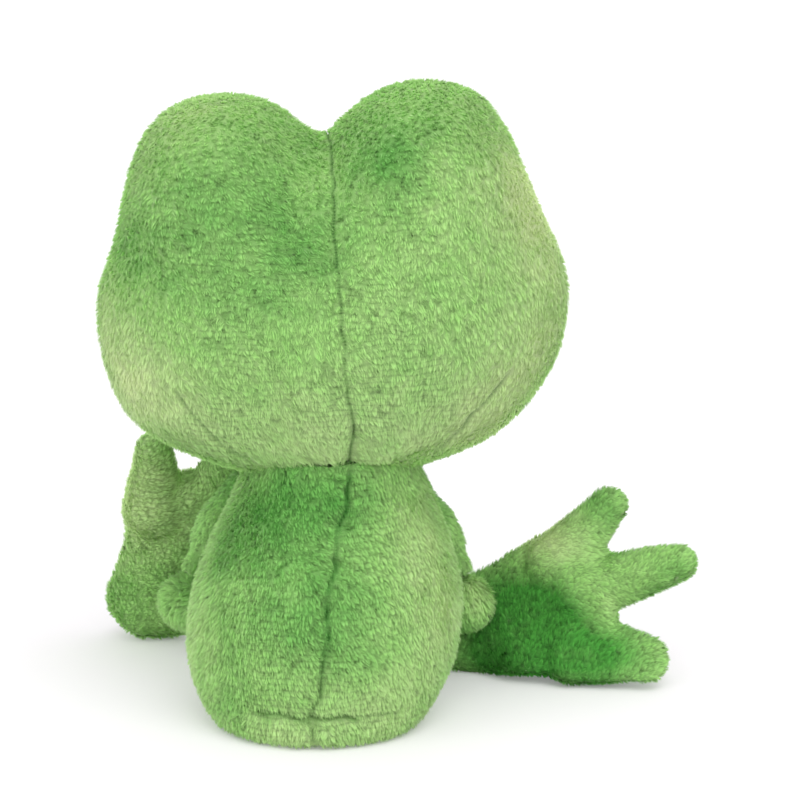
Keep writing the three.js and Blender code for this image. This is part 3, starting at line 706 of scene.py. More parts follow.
bagCotton = newMaterial("bagCotton", fineGrain, {
    "Base": rgb(230, 222, 204), "Other": rgb(214, 204, 182),
    "Grain Size": 0.6, "Smoothest": 0.8, "Roughest": 0.95,
}, {"Sheen Weight": 0.1}, bump=0.4, bumpHeight=0.0003)
print("materials ready")


# Head: four rounded lobes melt into one skin
# Seams, creases, pulls and patches are places in the world; lobes, eyes and mouth are in the head's frame.
# A patch is a place, its size, and how far the nap is brushed up there: above 0 it is painted darker as
# shade, below 0 paler as sheen; "lumps" are size, height and seed.

headShape = {
    "place": (-3, -3, 112), "roll": 3.8, "sharp": 7.5, "faceSeam": -8,
    "neck": (-3.3, 0, 62.0), "neckHole": 21.3,
    "lobes": [((0, 2, -9), (58.5, 37, 41)), ((25.2, 1, 21.5), (25.5, 28, 27)),
              ((-25.2, 1, 21.5), (25.5, 28, 27)), ((0, -14, -16), (44, 26, 27))],
    "eye": (24, -26, 23), "underEye": 9.2, "mouthHalf": 31, "mouthLow": -13, "mouthRise": 8,
    "fineReach": (3.2, 2.0), "lumps": (19, 0.3, 4),
    "seams": {
        "centre": [
            (-2.2, -10.5, 149), (-2.6, -3, 150), (-2.9, 2.9, 150.5), (-3.3, 12, 146), (-3.6, 18.6, 140.8),
            (-5, 30, 125.7), (-6.7, 35.7, 107.4), (-8, 33.7, 89.8), (-9.1, 30.1, 81.5), (-8.3, 23.5, 72.9),
            (-6, 14, 62),
        ],
        "dartLeft": [(34.5, 24.7, 91), (27.1, 22.9, 79.8), (21.2, 19.8, 73.2), (14.5, 16.9, 69.2)],
        "dartRight": [(-27.5, 14.5, 70.5), (-34.5, 18.2, 76.9), (-39.8, 21.2, 83.9), (-48.5, 20.5, 94.5)],
    },
    "sewing": {
        "centre": {"width": 0.32, "depth": 0.6, "dip": 0.6, "dipWidth": 2.6, "pucker": 0.35, "reach": 4.5,
                   "shade": 0.72, "rag": 0.65, "seed": 3},
        "face": {"width": 0.4, "depth": 0.35, "dip": 0.2, "pucker": 0.1, "shade": 0.15, "part": 0.3,
                 "seed": 9},
        "dart": {"width": 0.36, "dip": 0.35, "pucker": 0.1, "shade": 0.7, "part": 0.8, "seed": 15},
        "mouth": {"width": 0.9, "depth": 0.4, "dip": 0.9, "dipWidth": 3.0, "reach": 5, "shade": 0.4,
                  "seed": 21},
    },
    "creases": [(-26, 14, 157), (-34, 9, 158.5), (-44, 4, 153)], "creaseHeight": 0.32, "creaseReach": 8,
    "creaseTurns": (0.5, 1.9),
    "pulls": [
        ((47, 5, 137), 14, (-2.6, 0, 0)), ((-56, 5, 122), 14, (-2.6, 0, 0)), ((-49, 5, 148), 11, (2.8, 0, 0)),
        ((-40, 3, 158), 9, (-0.6, 0, 1.2)), ((9, 2, 153), 11, (0, 0, 2)), ((46, 0, 76), 13, (1.9, 0, -1.2)),
        ((-44, 0, 72), 14, (-0.7, 0, -0.9)), ((54, 2, 112), 9, (1.2, 0, 0)), ((3, 3, 147), 5, (0.3, 0, 0.8)),
    ],
    "patches": [
        ((20.3, 23.6, 142.8), 13, 0.4), ((33, 24, 131), 15, 0.26), ((-15.7, 19.8, 148.3), 9, 0.45),
        ((-21, 24.6, 143), 9, 0.3), ((3.4, 28.5, 127.9), 13, 0.3), ((-52.3, 7.5, 134), 17, -1.1),
        ((50, 9, 107), 13, -0.3), ((29, 12, 153), 11, -0.35), ((44, 14, 120), 10, 0.3),
        ((15.4, 32.6, 114), 17, 0.2), ((0, 25, 72), 22, -0.35), ((45.7, 15.7, 88), 18, -0.8),
        ((-40, 18.8, 81), 20, -0.75),
        ((-54.7, 12, 103), 16, -0.6), ((3.8, 28.3, 78.6), 20, -0.2), ((29, 25, 78), 11, -0.2),
        ((26, 2, 158), 10, -0.25), ((-33, 8, 158), 10, 0.1), ((0, -42, 96), 30, -0.35),
        ((22, -30, 136), 15, -0.3), ((-26, -30, 136), 15, -0.3),
    ],
}
headPlace = Matrix.Translation(headShape["place"]) @ turned(headShape["roll"], "Y")
headCentre = np.array(headShape["place"], float)
neckCentre = np.array(headShape["neck"])


def headField(points):
    total = np.full(points.shape[:-1], -1.0)
    for at, size in headShape["lobes"]:
        away = np.linalg.norm((points - np.array(at)) / np.array(size), axis=-1)
        total += np.exp(headShape["sharp"] * (1 - away))
    return total


def headAlong(ways, start=np.zeros(3)):
    # where the skin lies in each direction from a place inside the head, in the head's own frame
    near, far = np.zeros(len(ways)), np.full(len(ways), 120.0)
    for _ in range(34):  # each halves what is left between inside and outside
        middle = (near + far) / 2
        inside = headField(start + ways * middle[:, None]) > 0
        near, far = np.where(inside, middle, near), np.where(inside, far, middle)
    return start + ways * near[:, None]


def onHead(points):
    # places near the head, moved straight out onto its skin
    return placed(headPlace, headAlong(unit(placed(headPlace.inverted(), points))))


def onFace(across, height):
    start = np.column_stack((across, 0 * across, height))
    return headAlong(np.tile((0.0, -1.0, 0.0), (len(start), 1)), start)


def headSkinForm(lines):
    # a ball of even triangles drawn out to the skin, with finer ones beside the seams
    ball = bmesh.new()
    bmesh.ops.create_icosphere(ball, subdivisions=6, radius=1)
    for reach in headShape["fineReach"]:
        ways = unit(np.array([v.co for v in ball.verts]))
        near = nearest(placed(headPlace, headAlong(ways)), lines)[0] < reach
        fine = [e for e in ball.edges if near[e.verts[0].index] or near[e.verts[1].index]]
        bmesh.ops.subdivide_edges(ball, edges=fine, cuts=1, use_grid_fill=True)
        bmesh.ops.triangulate(ball, faces=ball.faces[:])
        ball.verts.index_update()
    ways = unit(np.array([v.co for v in ball.verts]))
    faces = np.array([[v.index for v in f.verts] for f in ball.faces])
    ball.free()
    return placed(headPlace, headAlong(ways)), faces


def eyePlace(hand):
    # the middle of an eye on the skin, and the way straight out from there
    across, forward, up = headShape["eye"]
    spot = headAlong(unit(np.array([[hand * across, forward, up]], float)))
    step = 0.06
    slope = [headField(spot - step * a)[0] - headField(spot + step * a)[0] for a in np.eye(3)]
    here, out = placed(headPlace, np.vstack((spot, spot + unit(np.array(slope)))))
    return here, unit(out - here)


def lineOnHead(knots, steps=24):
    line = smoothCurve(knots, steps)
    line[:, 0] += wavy(line * (0.2, 0.2, 1), 3.4, 19) * 0.5  # no seam is sewn quite straight
    return onHead(line)


def mouthLine(count):
    share = np.linspace(-1, 1, count)
    height = headShape["mouthLow"] + headShape["mouthRise"] * share ** 2
    return placed(headPlace, onFace(share * headShape["mouthHalf"], height))


def faceSeamLine(count):
    angle = np.linspace(0, 2 * math.pi, count)
    ways = np.column_stack((np.cos(angle), np.zeros(count), np.sin(angle)))
    return placed(headPlace, headAlong(ways, np.array([0, headShape["faceSeam"], 0.0])))


seamLines = {name: lineOnHead(knots) for name, knots in headShape["seams"].items()}
seamLines["face"] = faceSeamLine(900)
seamLines["mouth"] = mouthLine(140)
eyes = {hand: eyePlace(hand) for hand in (1, -1)}


def underFelt(points):
    near = [np.linalg.norm(points - spot, axis=1) < headShape["underEye"] for spot, _ in eyes.values()]
    return np.any(near, axis=0)


def inNeck(points):
    return np.linalg.norm(points - neckCentre, axis=1) < headShape["neckHole"]


def downOut(points):
    # the head's nap runs down and a little to the frog's right
    return np.tile((-0.28, 0.75, -1.0), (len(points), 1))


headPoints, headFaces = headSkinForm(np.vstack(list(seamLines.values())))
headPoints = eased(headPoints, headShape["pulls"])
sewnDown = np.vstack([seamLines[line] for line in ("centre", "dartLeft", "dartRight", "mouth")])
headSkin = skinOf(puffed(headPoints, headFaces, sewnDown), headFaces, pileSettings["inset"])
lumpy(headSkin, *headShape["lumps"])
for line in ("centre", "face", "dartLeft", "dartRight", "mouth"):
    far, along, away = nearest(headSkin["points"], seamLines[line], headSkin["normals"])
    sewing = "dart" if line.startswith("dart") else line
    sewn(headSkin, far, along, headShape["sewing"][sewing], away)
# creases near the top of the right hump, where the cloth is drawn over the curve
creases = onHead(smoothCurve(headShape["creases"], 20))
far = nearest(headSkin["points"], creases)[0]
sideways, upward = headShape["creaseTurns"]  # radians to the mm
ripple = np.sin(headSkin["points"][:, 2] * upward + sideways * headSkin["points"][:, 0])
raised(headSkin, ripple * fading(far, headShape["creaseReach"]) * headShape["creaseHeight"])
head = makePiece("headSkin", withPile(headSkin, {
    "faces": 199500, "density": 6.5, "patches": headShape["patches"], "seed": 40, "nap": downOut,
    "strokes": (-0.55, 0.2, -1), "level": (-2, 14), "bare": [underFelt, inNeck],
}, 41), plush, "head", [
    "head_back_left", "head_back_right", "face_panel", "chin_panel", "head_stuffing",
])
print("head ready")


# Body

bodyShape = {
    "rimHeight": 59.5, "lean": 3.3, "forward": 1.5, "baseSeam": 8.5, "sideSeam": -7,
    "sag": 3.4, "sagHeight": 9, "baseWander": 1.9, "gathers": 0.15, "gatherHeight": 70, "gatherReach": 7,
    "lumps": (16, 0.5, 14), "around": 230, "floorTouch": 0.35,
    "profile": [(24.4, 0), (27.4, 1.2), (31.3, 7.1), (34.1, 14.9), (35, 23.8), (34.2, 34), (31.4, 43.5),
                (29.5, 48.4), (27.1, 54), (24.7, 59.5), (23.4, 63.2), (22.8, 66.4), (22.3, 69), (21.6, 71.4)],
    "neckDish": [(19.6, 72), (17, 70), (16, 62), (15, 54), (12, 48), (7, 43), (3, 41), (0, 40.5)],
    "backSeam": [(-8.4, 70.5), (-8.2, 67), (-7.6, 60), (-5.6, 56), (-4.9, 50.2), (-4.2, 45), (-2.7, 38),
                 (-3.3, 30.7), (-1.4, 21.9), (-0.9, 15.2), (1.7, 9.2), (1.1, 4.8), (0.5, 1)],
    "centreSewing": {"depth": 0.8, "dip": 0.9, "dipWidth": 3.0, "pucker": 0.9, "reach": 6, "shade": 0.72,
                     "rag": 0.65, "seed": 33},
    "baseSewing": {"width": 0.6, "dip": 0.45, "dipWidth": 2.4, "pucker": 0.6, "shade": 0.95, "rag": 1.5,
                   "part": 0.6, "seed": 39},
    "sideSewing": {"depth": 0.4, "dipWidth": 2.4, "pucker": 0.25, "reach": 5, "shade": 0.2, "part": 0.4,
                   "seed": 45},
    "patches": [
        ((10.3, 19, 60), 12, 0.5), ((20, 12, 52), 12, 0.35), ((-6, 22, 62), 9, 0.5), ((4, 22, 67), 9, 0.3),
        ((-20.5, 24, 47), 14, -0.3), ((-25, 16, 54), 9, -0.35), ((-2, 32, 38), 19, 0.62),
        ((21, 26, 10), 6, 0.25), ((12, 30.2, 10.5), 5, 0.15), ((-11, 31, 13), 10, -0.2),
        ((-33, 12.7, 33.7), 16, -0.5), ((-20.5, 26.2, 8), 14, -0.35), ((5, 28, 3), 16, -0.4),
        ((28, 14, 25), 12, -0.2), ((0, -34, 30), 26, -0.3),
    ],
}
bodyRing = smoothCurve(bodyShape["profile"], 9)


def bodyCentreAt(height):
    t = np.clip(height / bodyShape["rimHeight"], 0, 1)
    return -bodyShape["lean"] * t * t * (3 - 2 * t), -bodyShape["forward"] * np.sin(math.pi * t)


def bodyForm():
    base = [(r, 0) for r in np.linspace(0, bodyRing[0, 0], 14)[:-1]]
    points, faces = lathe(base + bodyRing.tolist() + bodyShape["neckDish"], bodyShape["around"])
    across, forward = bodyCentreAt(points[:, 2])
    points[:, 0] += across
    points[:, 1] += forward
    # the seat spreads a little towards the back
    sag = bodyShape["sag"] * fading(points[:, 2], bodyShape["sagHeight"])
    points[:, 1] += sag * np.clip(points[:, 1] / 20, 0, 1)
    return points, faces


def onBodyBack(knots, steps=20):
    # places given as (across, height), put on the back of the body
    line = smoothCurve(knots, steps)
    line[:, 0] += wavy(lengthwise(line[:, 1]), 3.2, 29) * 0.6
    radius = np.interp(line[:, 1], bodyRing[:, 1], bodyRing[:, 0])
    across, forward = bodyCentreAt(line[:, 1])
    deep = np.sqrt(np.maximum(radius ** 2 - (line[:, 0] - across) ** 2, 0))
    return np.column_stack((line[:, 0], forward + deep, line[:, 1]))


def bodyNap(points):
    return np.column_stack((-0.35 - 0.01 * points[:, 0], 0 * points[:, 0], np.full(len(points), -1.0)))


def onFloor(height):
    # what is lower than this rests on the floor and has no pile
    return lambda points: points[:, 2] < height


bodyPoints, bodyFaces = bodyForm()
backSeam = onBodyBack(bodyShape["backSeam"])
height = bodyPoints[:, 2]
held = bodyPoints[(height < bodyShape["baseSeam"]) | (height > bodyShape["rimHeight"] + 6)]
bodyPoints = puffed(bodyPoints, bodyFaces, np.vstack((backSeam, held)))
bodySkin = skinOf(bodyPoints, bodyFaces, pileSettings["inset"])
lumpy(bodySkin, *bodyShape["lumps"])
far, along, away = nearest(bodySkin["points"], backSeam, bodySkin["normals"])
sewn(bodySkin, far, along, bodyShape["centreSewing"], away)
height = bodySkin["points"][:, 2]
turnAround = np.arctan2(bodySkin["points"][:, 1], bodySkin["points"][:, 0]) * 33  # mm round the body
wander = wavy(lengthwise(turnAround), 8, 8) * bodyShape["baseWander"]
# the seat's fold fades towards the sides
creased = np.clip(1.15 - (np.abs(bodySkin["points"][:, 0] + 1) / 25) ** 4, 0, 1)
fromBase = np.abs(height - bodyShape["baseSeam"] - wander)
sewn(bodySkin, fromBase + 4 * (1 - creased), turnAround, bodyShape["baseSewing"])
noSeam = 99  # a distance at which a seam does nothing
across, forward = bodySkin["points"][:, 0], bodySkin["points"][:, 1]
beside = np.where(np.abs(across) > 5, np.abs(forward - bodyShape["sideSeam"]), noSeam)
sewn(bodySkin, np.where(height > bodyShape["baseSeam"], beside, noSeam), height, bodyShape["sideSewing"])
# gathers where the body is drawn in to the neck
outside = np.linalg.norm(bodyPoints - neckCentre, axis=1) > headShape["neckHole"] + 1.5
gather = np.sin(turnAround * 1.3 + wavy(bodySkin["points"], 7, 70) * 2.2)
gather *= fading(height - bodyShape["gatherHeight"], bodyShape["gatherReach"]) * bodyShape["gathers"]
raised(bodySkin, gather * outside)
grounded(bodySkin)
body = makePiece("bodySkin", withPile(bodySkin, {
    "faces": 199500, "density": 7.5, "patches": bodyShape["patches"], "seed": 50, "nap": bodyNap,
    "bare": [inNeck, onFloor(bodyShape["floorTouch"])],
}, 51), plush, "torso", [
    "body_back_left", "body_back_right", "belly_panel", "base_panel", "body_stuffing",
])
print("body ready")


# Neck wad under gathered cloth, with the ladder stitch round it

neckShape = {
    "radius": 21.2, "pleat": 0.12, "pleatReach": 7, "bandLow": 69, "bandHigh": 75,
    "threadAt": 71, "threadRadius": 20.4, "thread": 0.28, "stitches": 60, "stitchShare": 0.72, "slant": 0.9,
    "patches": [((10.3, 19, 62), 12, 0.85), ((-6, 22, 64), 9, 0.6)],
}
neckPoints, neckFaces = eggForm((0, 0, 0), [neckShape["radius"]] * 3, 150, 91)
pleat = np.sin(np.arctan2(neckPoints[:, 1], neckPoints[:, 0]) * 34 + wavy(neckPoints, 9, 5) * 2)
neckSkin = skinOf(neckPoints + neckCentre, neckFaces, 0.5)
raised(neckSkin, pleat * neckShape["pleat"] * fading(neckPoints[:, 2], neckShape["pleatReach"]))


def awayFromBand(points):
    return (points[:, 2] < neckShape["bandLow"]) | (points[:, 2] > neckShape["bandHigh"])


neckWad = makePiece("neckWad", withPile(neckSkin, {
    "faces": 60000, "density": 8, "patches": neckShape["patches"], "seed": 50, "nap": downOut,
    "bare": [awayFromBand],
}, 61), plush, "neck", ["neck_stuffing"])

stitches = []
t = np.linspace(0, 1, 9)
for start in range(neckShape["stitches"]):
    angle = 2 * math.pi * (start + neckShape["stitchShare"] * t) / neckShape["stitches"]
    radius = neckShape["threadRadius"] + 0.25 * np.sin(math.pi * t)
    line = np.column_stack((radius * np.cos(angle), radius * np.sin(angle), (t - 0.5) * neckShape["slant"]))
    line += (neckCentre[0], neckCentre[1], neckShape["threadAt"])
    stitches.append(cordForm(line, neckShape["thread"]))
makePiece("neckStitches", plainForm(*joined(stitches)), greenThread, "neck", ["neck_seam"])
print("neck ready")


# Arms

armShape = {
    "left": {"place": (20.6, -26, 53.5), "outward": 31, "pulls": []},
    "right": {"place": (-25.2, -26, 54), "outward": 28, "pulls": [((-30, -27, 50), 11, (1.7, 0, -0.6))]},
    "forward": 10, "root": 4.2, "elbow": 5.9, "wrist": 5.2, "upper": 11.4, "fore": 5.3, "elbowBack": 0.6,
    "wristForward": 0.4, "palm": (5, 6.3, 6.6), "fingerLength": 6.2, "fingerRoot": 3.1, "fingerTip": 2.5,
    "spread": 20, "voxel": 0.6, "smoothing": 6, "inset": 0.7, "lumps": (7, 0.25, 73), "tucked": 1.5,
    "sewing": {"dipWidth": 1.6, "pucker": 0.12, "reach": 3, "seed": 71},
}


def inBody(points):
    # limbs need no pile where they are tucked into the body
    radius = np.interp(points[:, 2], bodyRing[:, 1], bodyRing[:, 0])
    across, forward = bodyCentreAt(points[:, 2])
    level = (points[:, 2] > -1) & (points[:, 2] < 67)
    return level & (np.hypot(points[:, 0] - across, points[:, 1] - forward) < radius - armShape["tucked"])


def armPiece(hand, name):
    spot = armShape[name]
    place = Matrix.Translation(spot["place"]) @ turned(-hand * armShape["forward"], "Z")
    place = place @ turned(-hand * spot["outward"], "Y")
    elbow = (0, armShape["elbowBack"], -armShape["upper"])
    wrist = np.array((0, -armShape["wristForward"], -armShape["upper"] - armShape["fore"]))
    parts = [roundBar((0, 0, 0), armShape["root"], elbow, armShape["elbow"]),
             roundBar(elbow, armShape["elbow"], wrist, armShape["wrist"]), eggForm(wrist, armShape["palm"])]
    for finger in (-1, 0, 1):
        angle = finger * math.radians(armShape["spread"])
        way = np.array((0, math.sin(angle), -math.cos(angle)))
        start = wrist + way * (armShape["palm"][1] - armShape["fingerRoot"])
        end = start + way * armShape["fingerLength"]
        parts.append(roundBar(start, armShape["fingerRoot"], end, armShape["fingerTip"]))
    points, faces = sewnTogether(parts, armShape["voxel"], armShape["smoothing"])
    skin = skinOf(eased(placed(place, points), spot["pulls"]), faces, armShape["inset"])
    sewn(skin, np.abs(points[:, 0]), points[:, 2] + points[:, 1], armShape["sewing"])
    lumpy(skin, *armShape["lumps"])
    way = wayIn(place, (0, 0, -1))
    piece = makePiece(f"{name}Arm", withPile(skin, {
        "faces": 44000, "density": 12.0, "patches": [(spot["place"], 14, 0.3)], "seed": 70 + hand,
        "length": 1.2, "width": 0.3, "nap": lambda p: np.tile(way, (len(p), 1)), "bare": [inBody],
    }, 72 + hand), plush, f"arm_{name}", [
        f"{name}_arm_outer", f"{name}_arm_inner", f"{name}_arm_stuffing",
    ])


armPiece(1, "left")
armPiece(-1, "right")
print("arms ready")


# Legs and feet

legShape = {
    "hip": 6.5, "shaft": 6.2, "ankle": 7.9, "ankleUp": 1.2,
    "voxel": 0.6, "smoothing": 5, "inset": 0.7, "lumps": (8, 0.3, 83),
    "left": {"place": (23.2, -31.6, 12.7), "yaw": 31, "length": 26.2, "sole": -21, "lean": -22, "turn": -23,
             "drop": 5, "patches": [((40, -47, 20), 12, 0.1)]},
    "right": {"place": (-20.2, -36.2, 19.6), "yaw": 112, "length": 18.5, "sole": -97, "lean": 9, "turn": -71,
              "drop": 0, "patches": [((-39, -26, 16), 9, 0.45), ((-41, -23, 27), 8, -0.7)]},
    "sewing": {"dipWidth": 1.8, "reach": 3, "seed": 81},
}
footShape = {
    "middle": 13.3, "inside": 4.5, "outside": 1, "thick": 6.8, "edge": 9,
    "outline": [(0, -15), (7.5, -13.4), (12, -8.5), (13.6, -1), (15, 8), (17.6, 17), (19.2, 24), (17.2, 30),
                (10.2, 35), (0, 36.5)],
    "toeRoot": 9.6, "toeTip": 5.7, "toeFlatness": 0.8,
    "toes": [((0, 26), (-0.3, 55.2)), ((12, 22.5), (20.6, 40.6)), ((-7.6, 22.5), (-19.4, 41.4))],
    "voxel": 0.75, "smoothing": 45, "lumps": (13, 0.3, 93), "settleHeight": 9,
    "underAnkle": 8, "floorTouch": 0.3,
    "sewing": {"depth": 0.4, "shade": 0.12, "part": 0.3, "seed": 91},
    "left": {
        "settle": 8.5, "broaden": 1.02,
        "pulls": [((34, -50, 5), 9, (-4, 2, -1)), ((38, -64, 3), 8, (-3, 5, -2)),
                  ((50, -55, 20), 70, (-0.9, 0, 0))],
        "patches": [((52.5, -59.6, 12.7), 10, 0.2), ((41, -53.3, 31), 8, 0.05), ((47, -60, 24), 18, -0.3),
                    ((48.6, -49, 46), 17, -0.6), ((44, -57, 6), 8, -0.2)],
    },
    "right": {
        "settle": 9, "broaden": 1.0, "pulls": [((-52, -25, 3), 9, (0, 2.5, 0))],
        "patches": [((-52.1, -31.4, 9), 13, 1.2), ((-60, -29, 12), 12, 0.9), ((-72.8, -26.1, 9), 9, 0.55),
                    ((-52, -32.6, 22), 11, 0.6), ((-72.8, -33.5, 46), 8, 0.3), ((-83, -28.8, 32.5), 9, -0.1),
                    ((-73, -27.4, 17.5), 7, -0.65), ((-60, -35.5, 37), 11, -0.85), ((-88, -23.4, 8), 7, -0.2),
                    ((-71, -25, 6), 9, 0.4), ((-79, -24, 5), 8, 0.24), ((-41, -27, 7), 8, 0.8),
                    ((-90, -26, 31), 6, 0.2), ((-54, -35, 36), 8, -0.4)],
    },
}


def legPlace(hand, name):
    return Matrix.Translation(legShape[name]["place"]) @ turned(hand * legShape[name]["yaw"], "Z")


def legPiece(hand, name):
    place = legPlace(hand, name)
    ankle = (0, -legShape[name]["length"], 0)
    parts = [roundBar((0, 0, 0), legShape["hip"], ankle, legShape["shaft"]),
             eggForm((0, ankle[1], legShape["ankleUp"]), [legShape["ankle"]] * 3)]
    points, faces = sewnTogether(parts, legShape["voxel"], legShape["smoothing"])
    under = np.where(points[:, 2] < 0, np.abs(points[:, 0]), noSeam)
    skin = skinOf(placed(place, points), faces, legShape["inset"])
    sewn(skin, under, points[:, 1], legShape["sewing"])
    lumpy(skin, *legShape["lumps"])
    way, end = wayIn(place, (0, -1, 0)), np.array(place @ Vector(ankle))
    piece = makePiece(f"{name}Leg", withPile(skin, {
        "faces": 50000, "density": 10.0, "patches": legShape[name]["patches"], "seed": 80 + hand,
        "length": 2.1, "nap": lambda p: way * 0.4 + unit(p - end) * 0.5 + np.array((0, 0, -0.8)),
        "bare": [inBody],
    }, 82 + hand), plush, f"leg_{name}", [f"{name}_leg_tube", f"{name}_leg_stuffing"])


def footPad():
    # a flat cushion as wide as its outline, with round edges
    points, faces = lathe(smoothCurve(footShape["outline"], 7).tolist(), 72)
    wide = np.hypot(points[:, 0], points[:, 1])
    edge = 1 - np.minimum(1, wide / footShape["edge"])
    thick = footShape["thick"] * np.sqrt(1 - edge ** 2)
    points[:, 1] *= np.where(wide > 1e-4, thick / np.maximum(wide, 1e-4), 1)
    return points, faces


def footPiece(hand, name):
    leg, own, middle = legShape[name], footShape[name], footShape["middle"]
    place = legPlace(hand, name) @ Matrix.Translation((0, -leg["length"], 0))
    place = place @ turned(hand * leg["sole"], "Z") @ turned(leg["lean"], "X") @ turned(leg["turn"], "Y")
    ankle = np.array(place.translation)

    def at(across, forward):
        return np.array((hand * (across + footShape["inside"]), -middle, forward - leg["drop"]))

    pad, padFaces = footPad()
    parts = [(pad + at(footShape["outside"], 0), padFaces)]
    for start, end in footShape["toes"]:
        toe, toeFaces = roundBar(at(*start), footShape["toeRoot"], at(*end), footShape["toeTip"])
        toe[:, 1] = -middle + (toe[:, 1] + middle) * footShape["toeFlatness"]
        parts.append((toe, toeFaces))
    points, faces = sewnTogether(parts, footShape["voxel"], footShape["smoothing"])
    edge = np.abs(points[:, 1] + middle)
    world = placed(place, points)
    # the side that the foot stands on spreads towards the back
    settle = own["settle"] * fading(world[:, 2], footShape["settleHeight"])
    world[:, 0] += (own["broaden"] - 1) * (world[:, 0] - world[:, 0].mean())
    settle *= np.clip(np.linalg.norm(world[:, :2] - ankle[:2], axis=1) / 12, 0.3, 1)
    world[:, 1] += settle * np.clip((world[:, 1] - world[:, 1].mean()) / 10 + 0.5, 0, 1)
    world = eased(world, own["pulls"])
    world = puffed(world, faces, world[(edge < 0.8) | (world[:, 2] < 0.6)])
    skin = skinOf(world, faces, pileSettings["inset"])
    sewn(skin, edge, points[:, 2] + points[:, 0], footShape["sewing"])
    lumpy(skin, *footShape["lumps"])
    grounded(skin)
    way = wayIn(place, (0, 0, 1))
    piece = makePiece(f"{name}Foot", withPile(skin, {
        "faces": 110000, "density": 8.5, "patches": own["patches"], "seed": 90 + hand,
        "nap": lambda p: np.tile(way, (len(p), 1)),
        "bare": [lambda p: np.linalg.norm(p - ankle, axis=1) < footShape["underAnkle"],
                 onFloor(footShape["floorTouch"])],
    }, 92 + hand), plush, f"foot_{name}", [
        f"{name}_foot_upper", f"{name}_foot_sole", f"{name}_foot_stuffing",
    ])


for hand, name in ((1, "left"), (-1, "right")):
    legPiece(hand, name)
    footPiece(hand, name)
print("legs and feet ready")


# Face: eyes on felt discs, mouth and nostrils

faceShape = {
    "felt": 9.5, "feltThick": 1.1, "eye": 6.2, "eyeRise": 4.2, "stem": 1.8, "stemLength": 9,
    "mouthStitch": 2.6, "mouthThread": 0.85, "mouthStrands": (-0.38, 0.38), "stitchOverlap": 0.25,
    "nostril": 1.3, "nostrilAcross": 4.6, "nostrilUp": 1.5, "nostrilStep": 1.05, "nostrilThread": 0.36,
}


def feltForm(spot, way):
    # a cut disc that follows the skin, with a slightly uneven edge
    rings, around = 16, 72
    angle, cos, sin = roundTurn(around)
    trim = 1 + 0.012 * wavy(np.column_stack((cos, sin, angle * 0)) * 6, 2, 7)
    rows = []
    for ring in range(rings + 1):
        r = faceShape["felt"] * (ring / rings) * trim
        rows.append(onHead(placed(facing(way), np.column_stack((r * cos, r * sin, angle * 0))) + spot))
    surface = np.vstack(rows)
    normals = unit(unit(surface - headCentre) * 0.35 + way * 0.65)
    top = surface + normals * (0.3 + faceShape["feltThick"])
    low = surface + normals * 0.2
    top += normals * (wavy(top, 1.6, 77) * 0.07)[:, None]
    size, edge = len(top), rings * around
    faces = [band((ring + 1) * around, ring * around, around) for ring in range(rings)]
    faces = faces + [f[:, ::-1] + size for f in faces] + [band(size + edge, edge, around)]
    return plainForm(np.vstack((top, low)), np.vstack(faces))


def eyeForm(spot, way):
    # a glossy dome with a rolled rim and a ribbed stem
    eye, stem, end = faceShape["eye"], faceShape["stem"], -faceShape["stemLength"]
    seat = 0.6 + faceShape["feltThick"]
    dome = [(eye * math.sin(t), seat + faceShape["eyeRise"] * math.cos(t))
            for t in np.linspace(0, math.pi / 2, 26)]
    rim = [(eye - 0.15, seat - 0.5), (eye - 0.7, seat - 0.9), (stem + 0.2, seat - 1.0)]
    ribs = [(stem - 0.12 + 0.12 * math.cos(height * 6), height)
            for height in np.linspace(seat - 1.2, end, 40)]
    points, faces = lathe(dome + rim + ribs + [(0, end)], 64)
    return plainForm(placed(facing(way), points) + spot, faces)


def nostrilForm(hand):
    # a few close satin stitches, longest in the middle
    t, satin = np.linspace(-1, 1, 11), []
    for share in (-1, -0.5, 0, 0.5, 1):
        tall = faceShape["nostril"] * math.sqrt(max(1 - share ** 2 * 0.8, 0.1))
        across = hand * faceShape["nostrilAcross"] + share * faceShape["nostrilStep"] + 0.12 * t
        line = onFace(across, faceShape["nostrilUp"] + tall * t)
        line[:, 1] -= 0.1 + 0.55 * np.sqrt(np.maximum(1 - t ** 2, 0))
        satin.append(cordForm(placed(headPlace, line), faceShape["nostrilThread"]))
    return plainForm(*joined(satin))


def mouthForm():
    # backstitch in thick double thread, each stitch dipping into the cloth at its ends
    mouth = mouthLine(400)
    length = alongOf(mouth)
    outward = unit(np.array((0, -1.0, -0.12)) + 0.35 * unit(mouth - headCentre))
    number = int(length[-1] / faceShape["mouthStitch"])
    each, over = length[-1] / number, faceShape["stitchOverlap"]
    t, stitches = np.linspace(-1, 1, 11), []
    lift = (0.35 + 0.6 * np.sqrt(np.maximum(1 - t ** 2, 0)))[:, None]
    for k in range(number):
        at = np.linspace(k * each - over, (k + 1) * each + over, 11)
        line, out = [np.column_stack([np.interp(at, length, values[:, axis]) for axis in range(3)])
                     for values in (mouth, outward)]
        for strand in faceShape["mouthStrands"]:
            shifted = line + out * lift + np.array((0, 0, strand))
            stitches.append(cordForm(shifted, faceShape["mouthThread"] / 2))
    return plainForm(*joined(stitches))


for hand, name in ((1, "left"), (-1, "right")):
    spot, way = eyes[hand]
    makePiece(f"{name}EyeFelt", feltForm(spot, way), whiteFelt, "head", [f"{name}_eye_felt"])
    makePiece(f"{name}Eye", eyeForm(spot, way), eyeGlaze, "head", [f"{name}_eye"])
    makePiece(f"{name}Nostril", nostrilForm(hand), darkThread, "head", [f"{name}_nostril"])
makePiece("mouthStitches", mouthForm(), darkThread, "head", ["mouth_thread"])

for name in ("left", "right"):
    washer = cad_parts[f"{name}_eye_washer"]
    washer.data.materials.clear()
    washer.data.materials.append(washerPlastic)
print("face ready")


